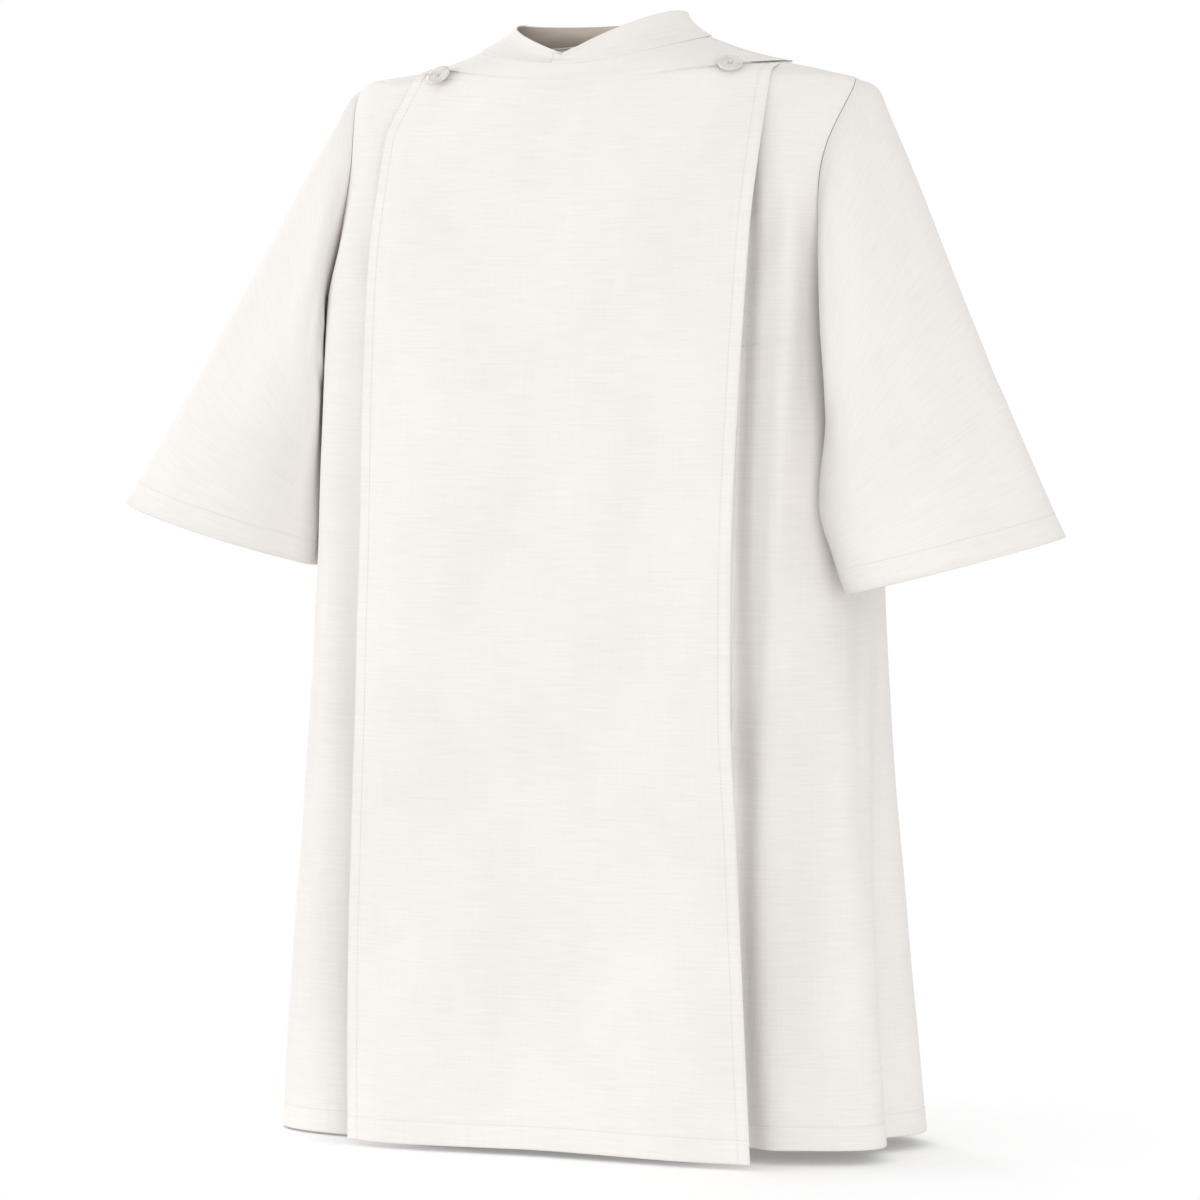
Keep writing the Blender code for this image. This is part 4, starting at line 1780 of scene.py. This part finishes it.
    def shank(self, sewing: Sewing, foot: Array, axes: Array) -> None:
        """Adds the wound thread between the cloth and the button's underside.

        Args:
            sewing: the object that gathers it.
            foot: the button's foot.
            axes: the button's axes.
        """
        turn = np.linspace(0, self.shank_turns * 2 * math.pi, self.shank_points)
        height = np.linspace(*self.shank_span, self.shank_points)
        level = self.shank_radius * np.cos(turn), self.shank_radius * np.sin(turn)
        points, faces = self.thread.tube(np.stack([*level, height], axis=-1))
        sewing.add(foot + points @ axes.T, faces)

    def build(self, made: Finishes) -> None:
        """Builds both buttons with their threads and buttonholes.

        Args:
            made: the materials.
        """
        points, faces = self.disc()
        for place in self.places:
            foot, axes = self.frame(place)
            turn = math.radians(place.turn)
            sine, cosine = math.sin(turn), math.cos(turn)
            spin = np.array([[cosine, -sine, 0], [sine, cosine, 0], [0, 0, 1]])
            placed = foot + points @ (axes @ spin).T
            name = place.name
            dressed(mesh_object(f"{name}_disc", placed, faces, made.button), Slot.BUTTON, name)
            sewing = Sewing(f"{name}_thread")
            self.strands(sewing, foot, axes, turn)
            self.shank(sewing, foot, axes)
            self.buttonhole.work(sewing, math.radians(place.degrees), self.level)
            dressed(sewing.built(made.thread), Slot.BUTTON)


# ---- Finishes ----


class Graph:
    """Writes a material's nodes in short lines.

    Attributes:
        material: the material.
        nodes: its nodes.
        links: the links between them.
        shader: its Principled BSDF.
    """

    def __init__(self, name: str) -> None:
        """Makes a new material with one shader and its output.

        Args:
            name: its name.
        """
        self.material = bpy.data.materials.new(name)
        self.material.use_nodes = True
        self.nodes = self.material.node_tree.nodes
        self.links = self.material.node_tree.links
        self.shader = self.nodes["Principled BSDF"]

    def add(self, kind: str, inputs: dict | None = None, **settings: object) -> Node:
        """Adds a node.

        Args:
            kind: the node's type, without "ShaderNode".
            inputs: a value or another node's output for each named or numbered input.
            settings: the node's own settings.

        Returns:
            The node.
        """
        node = self.nodes.new(f"ShaderNode{kind}")
        for name, value in settings.items():
            setattr(node, name, value)
        for key, value in (inputs or {}).items():
            self.put(node.inputs[key], value)
        return node

    def put(self, socket: Socket, value: object) -> None:
        """Sets a socket to a value, or links another node's output to it.

        Args:
            socket: the socket.
            value: the value or the output.
        """
        if isinstance(value, Socket):
            self.links.new(value, socket)
        else:
            socket.default_value = value

    def maths(self, operation: str, *values: object) -> Socket:
        """The result of a Math node on these values or sockets."""
        node = self.add("Math", dict(enumerate(values)), operation=operation)
        return node.outputs[0]

    def stretched_noise(self, vector: Socket, scale: Triple, detail: float) -> Socket:
        """Noise with a scale of its own along each axis.

        Args:
            vector: where it is read.
            scale: its scales.
            detail: how many finer layers it has.

        Returns:
            The noise, from 0 to 1.
        """
        mapped = self.add("Mapping", {"Vector": vector, "Scale": scale})
        inputs = {"Vector": mapped.outputs[0], "Scale": 1.0, "Detail": detail}
        return self.add("TexNoise", inputs).outputs["Fac"]

    def ramp(self, fac: Socket, stops: dict[float, Triple]) -> Socket:
        """A ramp from one colour to another.

        Args:
            fac: where on the ramp a colour is read.
            stops: the two colours by their places.

        Returns:
            The colour.
        """
        node = self.add("ValToRGB", {"Fac": fac})
        for element, (place, colour) in zip(node.color_ramp.elements, stops.items()):
            element.position, element.color = place, (*colour, 1.0)
        return node.outputs["Color"]

    def set(self, **values: object) -> None:
        """Sets the shader's sockets; an underscore in a name stands for a space."""
        for name, value in values.items():
            self.put(self.shader.inputs[name.replace("_", " ")], value)


@dataclass(frozen=True)
class SlubCloth:
    """Slubbed plain-weave cloth: fine threads both ways, thick streaks along the weft.

    Attributes:
        name: the material's name.
        low: its colour in the hollows, linear.
        high: its colour on the threads.
        roughness: roughness of the fibres.
        sheen: strength of the fuzz at grazing angles.
        pitch: from one thread to the next, in metres.
        weave_height: height of the threads.
        slub_height: height of the slub streaks.
        weft_scale: scale of the slubs' noise, across and down the pattern.
        warp_scale: the same for the fainter slubs along the warp.
        cloud_scale: the same for the cloth's soft clouds.
        warp_share: strength of the slubs along the warp, the weft's being 1.
        slub_tint: how much the slubs tint the colour.
        cloud_tint: how much the clouds do.
        stops: the tints that give the low and the high colour.
    """

    name: str
    low: Triple
    high: Triple
    roughness: float = 0.88
    sheen: float = 0.12
    pitch: float = 0.00062
    weave_height: float = 0.00003
    slub_height: float = 0.00012
    weft_scale: Triple = (24.0, 480.0, 1.0)
    warp_scale: Triple = (430.0, 15.0, 1.0)
    cloud_scale: Triple = (9.0, 6.0, 1.0)
    warp_share: float = 0.35
    slub_tint: float = 0.52
    cloud_tint: float = 0.6
    stops: tuple[float, float] = (0.45, 0.85)

    def material(self) -> Material:
        """Builds the material.

        The weave is sin(2 pi u / pitch) x sin(2 pi v / pitch) on the flat pattern. Slubs
        are noise stretched along the weft, with a fainter set along the warp. Both make
        the bump, and the slubs tint the colour between low and high.

        Returns:
            The material.
        """
        graph = Graph(self.name)
        flat = graph.add("UVMap", uv_map="pattern").outputs["UV"]
        apart = graph.add("SeparateXYZ", {"Vector": flat})
        wave = 2 * math.pi / self.pitch
        waves = [
            graph.maths("SINE", graph.maths("MULTIPLY", apart.outputs[axis], wave))
            for axis in ("X", "Y")
        ]
        weave = graph.maths("MULTIPLY", *waves)
        weft = graph.stretched_noise(flat, self.weft_scale, 3.0)
        warp = graph.stretched_noise(flat, self.warp_scale, 2.0)
        cloudy = graph.stretched_noise(flat, self.cloud_scale, 3.0)
        slub = graph.maths("MULTIPLY_ADD", warp, self.warp_share, weft)
        tint = graph.maths("MULTIPLY", slub, self.slub_tint)
        tint = graph.maths("MULTIPLY_ADD", cloudy, self.cloud_tint, tint)
        height = graph.maths("MULTIPLY", weave, self.weave_height)
        height = graph.maths("MULTIPLY_ADD", slub, self.slub_height, height)
        bump = graph.add("Bump", {"Height": height, "Strength": 0.9, "Distance": 1.0})
        graph.set(
            Base_Color=graph.ramp(tint, dict(zip(self.stops, (self.low, self.high)))),
            Roughness=self.roughness,
            Sheen_Weight=self.sheen,
            Sheen_Roughness=0.5,
            Specular_IOR_Level=0.25,
            Normal=bump.outputs["Normal"],
        )
        return graph.material


@dataclass(frozen=True)
class TwistedThread:
    """Sewing thread: a shade off the cloth, a little smoother.

    Attributes:
        name: the material's name.
        colour: its colour, linear.
        twist_groove_shade: a darker colour that paints the shade between the twists.
        twist_scale: scale of the twist's noise along each axis.
    """

    name: str
    colour: Triple
    twist_groove_shade: Triple
    twist_scale: Triple = (2600.0, 1400.0, 2600.0)

    def material(self) -> Material:
        """Builds the material: a fine twist that runs slantwise through the object, shown by
        painted shade between its turns.

        Returns:
            The material.
        """
        graph = Graph(self.name)
        place = graph.add("TexCoord").outputs["Object"]
        twist = graph.stretched_noise(place, self.twist_scale, 1.0)
        # Painted shade: noise streaks darken the thread as if between its twists.
        graph.set(
            Base_Color=graph.ramp(twist, {0.35: self.twist_groove_shade, 0.65: self.colour}),
            Roughness=0.6,
            Sheen_Weight=0.1,
        )
        return graph.material


@dataclass(frozen=True)
class PearlyButton:
    """A polished, faintly clouded button material, like cast resin or shell.

    Attributes:
        name: the material's name.
        low: its darker cloud, linear.
        high: its lighter cloud.
        cloud_scale: scale of the clouds' noise along each axis.
    """

    name: str
    low: Triple
    high: Triple
    cloud_scale: Triple = (70.0, 190.0, 120.0)

    def material(self) -> Material:
        """Builds the material: soft clouds under a clear polish.

        Returns:
            The material.
        """
        graph = Graph(self.name)
        place = graph.add("TexCoord").outputs["Object"]
        clouds = graph.stretched_noise(place, self.cloud_scale, 3.0)
        graph.set(
            Base_Color=graph.ramp(clouds, {0.35: self.low, 0.65: self.high}),
            Roughness=0.28,
            Coat_Weight=0.35,
            Coat_Roughness=0.12,
            Subsurface_Weight=0.15,
            Subsurface_Radius=(0.004, 0.003, 0.002),
        )
        return graph.material


def finishes() -> Finishes:
    """Makes the four materials of the garment.

    Returns:
        The materials.
    """
    kinds = (
        SlubCloth("off_white_slub_cloth", low=(0.77, 0.738, 0.706), high=(0.84, 0.81, 0.781)),
        # Painted shade: darker slub cloth colours for the collar's inner face.
        SlubCloth("collar_inside_painted_shade", low=(0.49, 0.42, 0.36), high=(0.61, 0.545, 0.475)),
        # Painted shade: the thread's second, darker colour stands for the shade between its twists.
        TwistedThread("white_sewing_thread", (0.80, 0.775, 0.74), twist_groove_shade=(0.60, 0.575, 0.54)),
        PearlyButton("pearly_button", low=(0.60, 0.565, 0.52), high=(0.74, 0.71, 0.67)),
    )
    return Finishes(*(kind.material() for kind in kinds))


# ---- Studio ----


@dataclass(frozen=True)
class SoftLight:
    """A square soft light that faces the garment.

    Attributes:
        name: the light's name.
        azimuth: where it stands, in degrees from the front towards the wearer's left.
        elevation: how high, in degrees above the garment's middle.
        distance: how far from the garment's middle.
        size: its side.
        power: its power in watts.
    """

    name: str
    azimuth: float
    elevation: float
    distance: float
    size: float
    power: float


@dataclass
class Studio:
    """The floor, the light and the camera.

    Attributes:
        aim_height: height of the garment's middle, which the lights face.
        floor_height: height of the floor.
        floor_radius: radius of the floor.
        fade: how far from its middle the floor starts to fade, and where it has gone.
        floor_glow: how much the floor shines by itself, so that it stays white.
        floor_rings: rings of points in it.
        floor_sides: points round it.
        world_light: strength of the light from all round.
        lights: the soft lights.
        azimuth: where the camera stands, in degrees from the front to the wearer's left.
        distance: its distance from the garment's axis.
        eye: its height.
        pitch: how far it looks down, in radians.
        lens: its focal length in millimetres.
        sensor: width of its picture in millimetres.
        aside: how far it stands to its own right.
    """

    aim_height: float = -0.5
    floor_height: float = -1.0465
    floor_radius: float = 0.8
    fade: tuple[float, float] = (0.30, 0.62)
    floor_glow: float = 0.20
    floor_rings: int = 24
    floor_sides: int = 96
    world_light: float = 0.87
    lights: tuple[SoftLight, ...] = (
        SoftLight("key_softbox", -66.0, 10.0, 3.6, 1.8, 36.0),
        SoftLight("front_softbox", 36.0, 8.0, 4.2, 1.8, 41.0),
        SoftLight("back_softbox", -132.0, 22.0, 3.8, 1.0, 26.0),
    )
    azimuth: float = 22.066
    distance: float = 5.087
    eye: float = -0.2470
    pitch: float = 0.05564
    lens: float = 159.1
    sensor: float = 36.0
    aside: float = -0.0039

    def build_floor(self) -> None:
        """Adds the round floor, bright white, that takes a soft shadow."""
        angle = np.linspace(0, 2 * math.pi, self.floor_sides + 1)[:-1]
        radius = np.linspace(0, self.floor_radius, self.floor_rings + 1)[1:, None]
        x, y = radius * np.sin(angle), -radius * np.cos(angle)
        ring = np.stack([x, y, np.zeros_like(x)], axis=-1).reshape(-1, 3)
        points = np.concatenate([ring, np.zeros((1, 3))])
        index = np.arange(len(ring)).reshape(-1, self.floor_sides)
        inner = index[0].tolist()
        centre = [(there, here, len(ring)) for here, there in zip(inner, inner[1:] + inner[:1])]
        data = bpy.data.meshes.new("floor")
        data.from_pydata(points.tolist(), [], walls_between(index).tolist() + centre)
        data.update()
        graph = Graph("floor_paper")
        place = graph.add("TexCoord").outputs["Object"]
        away = graph.add("VectorMath", {0: place}, operation="LENGTH").outputs["Value"]
        near, far = self.fade
        inputs = {"Value": away, "From Min": near, "From Max": far, "To Min": 1.0, "To Max": 0.0}
        seen = graph.add("MapRange", inputs, interpolation_type="SMOOTHSTEP").outputs["Result"]
        graph.set(
            Base_Color=(0.80, 0.80, 0.80, 1.0),
            Roughness=0.9,
            Specular_IOR_Level=0.1,
            Emission_Color=(1.0, 1.0, 1.0, 1.0),
            Emission_Strength=self.floor_glow,
            Alpha=seen,
        )
        data.materials.append(graph.material)
        floor = linked("floor", data)
        floor.location.z = self.floor_height
        floor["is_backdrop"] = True

    def build_world(self) -> None:
        """Adds white surroundings, softer as a light than as a background."""
        world = bpy.data.worlds.new("studio")
        world.use_nodes = True
        nodes, links = world.node_tree.nodes, world.node_tree.links
        background = nodes["Background"]
        background.inputs["Color"].default_value = (1.0, 1.0, 1.0, 1.0)
        seen = nodes.new("ShaderNodeLightPath").outputs["Is Camera Ray"]
        strength = nodes.new("ShaderNodeMapRange")
        strength.inputs["To Min"].default_value = self.world_light
        strength.inputs["To Max"].default_value = 1.0
        links.new(seen, strength.inputs["Value"])
        links.new(strength.outputs["Result"], background.inputs["Strength"])
        bpy.context.scene.world = world

    def build_lights(self) -> None:
        """Adds the soft lights."""
        aim = Vector((0.0, 0.0, self.aim_height))
        for light in self.lights:
            data = bpy.data.lights.new(light.name, "AREA")
            data.shape, data.size = "SQUARE", light.size
            data.energy = light.power
            turn, rise = math.radians(light.azimuth), math.radians(light.elevation)
            level = math.cos(rise)
            away = Vector((math.sin(turn) * level, -math.cos(turn) * level, math.sin(rise)))
            made = linked(light.name, data)
            made.location = aim + away * light.distance
            made.rotation_euler = (-away).to_track_quat("-Z", "Y").to_euler()

    def build_camera(self) -> None:
        """Adds the camera: level with the garment's upper part, to the wearer's left."""
        data = bpy.data.cameras.new("camera")
        data.lens, data.sensor_width = self.lens, self.sensor
        turn = math.radians(self.azimuth)
        sine, cosine = math.sin(turn), math.cos(turn)
        made = linked("camera", data)
        made.location = Vector((sine * self.distance, -cosine * self.distance, self.eye))
        made.location += Vector((cosine, sine, 0.0)) * self.aside
        made.rotation_euler = (math.pi / 2 - self.pitch, 0.0, turn)
        bpy.context.scene.camera = made

    def build(self) -> None:
        """Builds the whole studio."""
        self.build_floor()
        self.build_world()
        self.build_lights()
        self.build_camera()
        bpy.context.scene.view_settings.view_transform = "Standard"


# ---- Making ----

SLEEVES = (
    SleeveCloth(
        Side.LEFT,
        outer_end=(0.479, -0.055, -0.459),
        inner_end=(0.284, -0.105, -0.513),
        half_depth=0.072,
        creases=(
            Crease((-0.030, 0.345), (0.155, 0.385), -0.0030, 0.0075, -0.006),
            Crease((-0.010, 0.360), (0.120, 0.400), 0.0018, 0.0090, -0.005),
            Crease((0.020, 0.030), (0.075, 0.230), -0.0018, 0.0150, 0.005),
            Crease((0.110, 0.060), (0.130, 0.330), -0.0016, 0.0160, -0.006),
            Crease((0.140, 0.000), (0.190, 0.240), 0.0030, 0.0190, 0.0, 0.20),
            Crease((0.170, 0.060), (0.262, 0.400), 0.0050, 0.0200, 0.0, 0.20),
            Crease((-0.060, 0.060), (-0.090, 0.380), 0.0024, 0.0190, 0.006),
            Crease((-0.130, 0.030), (-0.150, 0.300), -0.0028, 0.0170, -0.005),
            Crease((-0.200, 0.080), (-0.205, 0.460), 0.0024, 0.0160, 0.004),
            Crease((0.060, 0.260), (0.064, 0.470), -0.0014, 0.0180, 0.004),
        ),
    ),
    SleeveCloth(
        Side.RIGHT,
        outer_end=(0.484, -0.050, -0.440),
        inner_end=(0.284, -0.025, -0.500),
        half_depth=0.062,
        clear=0.0065,
        creases=(
            Crease((0.010, 0.040), (0.060, 0.260), -0.0016, 0.0150, 0.005),
            Crease((0.090, 0.050), (0.120, 0.300), 0.0018, 0.0170, -0.006),
            Crease((0.140, 0.030), (0.150, 0.260), -0.0022, 0.0140, 0.005),
            Crease((0.214, 0.060), (0.232, 0.480), 0.0056, 0.0160, 0.004, 0.15),
            Crease((0.172, 0.050), (0.190, 0.180), 0.0036, 0.0120, 0.0, 0.30),
            Crease((-0.050, 0.050), (-0.080, 0.360), 0.0022, 0.0190, -0.006),
            Crease((-0.120, 0.040), (-0.140, 0.310), -0.0028, 0.0170, 0.005),
            Crease((-0.195, 0.060), (-0.200, 0.430), 0.0024, 0.0160, -0.004),
            Crease((0.070, 0.300), (0.080, 0.470), 0.0012, 0.0190, 0.004),
        ),
    ),
)


def corners() -> list[list[float]]:
    """The lowest and highest corner of all that is shown, as plain numbers."""
    return [[float(value) for value in corner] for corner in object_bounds()]


def main() -> None:
    """Builds the garment and its studio."""
    logging.basicConfig(level=logging.INFO, format="%(message)s")
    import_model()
    made = finishes()
    for assembly in (BodyCloth(), PanelCloth(), *SLEEVES, CollarCloth(), ButtonSet()):
        assembly.build(made)
    Studio().build()


if __name__ == "__main__":
    main()
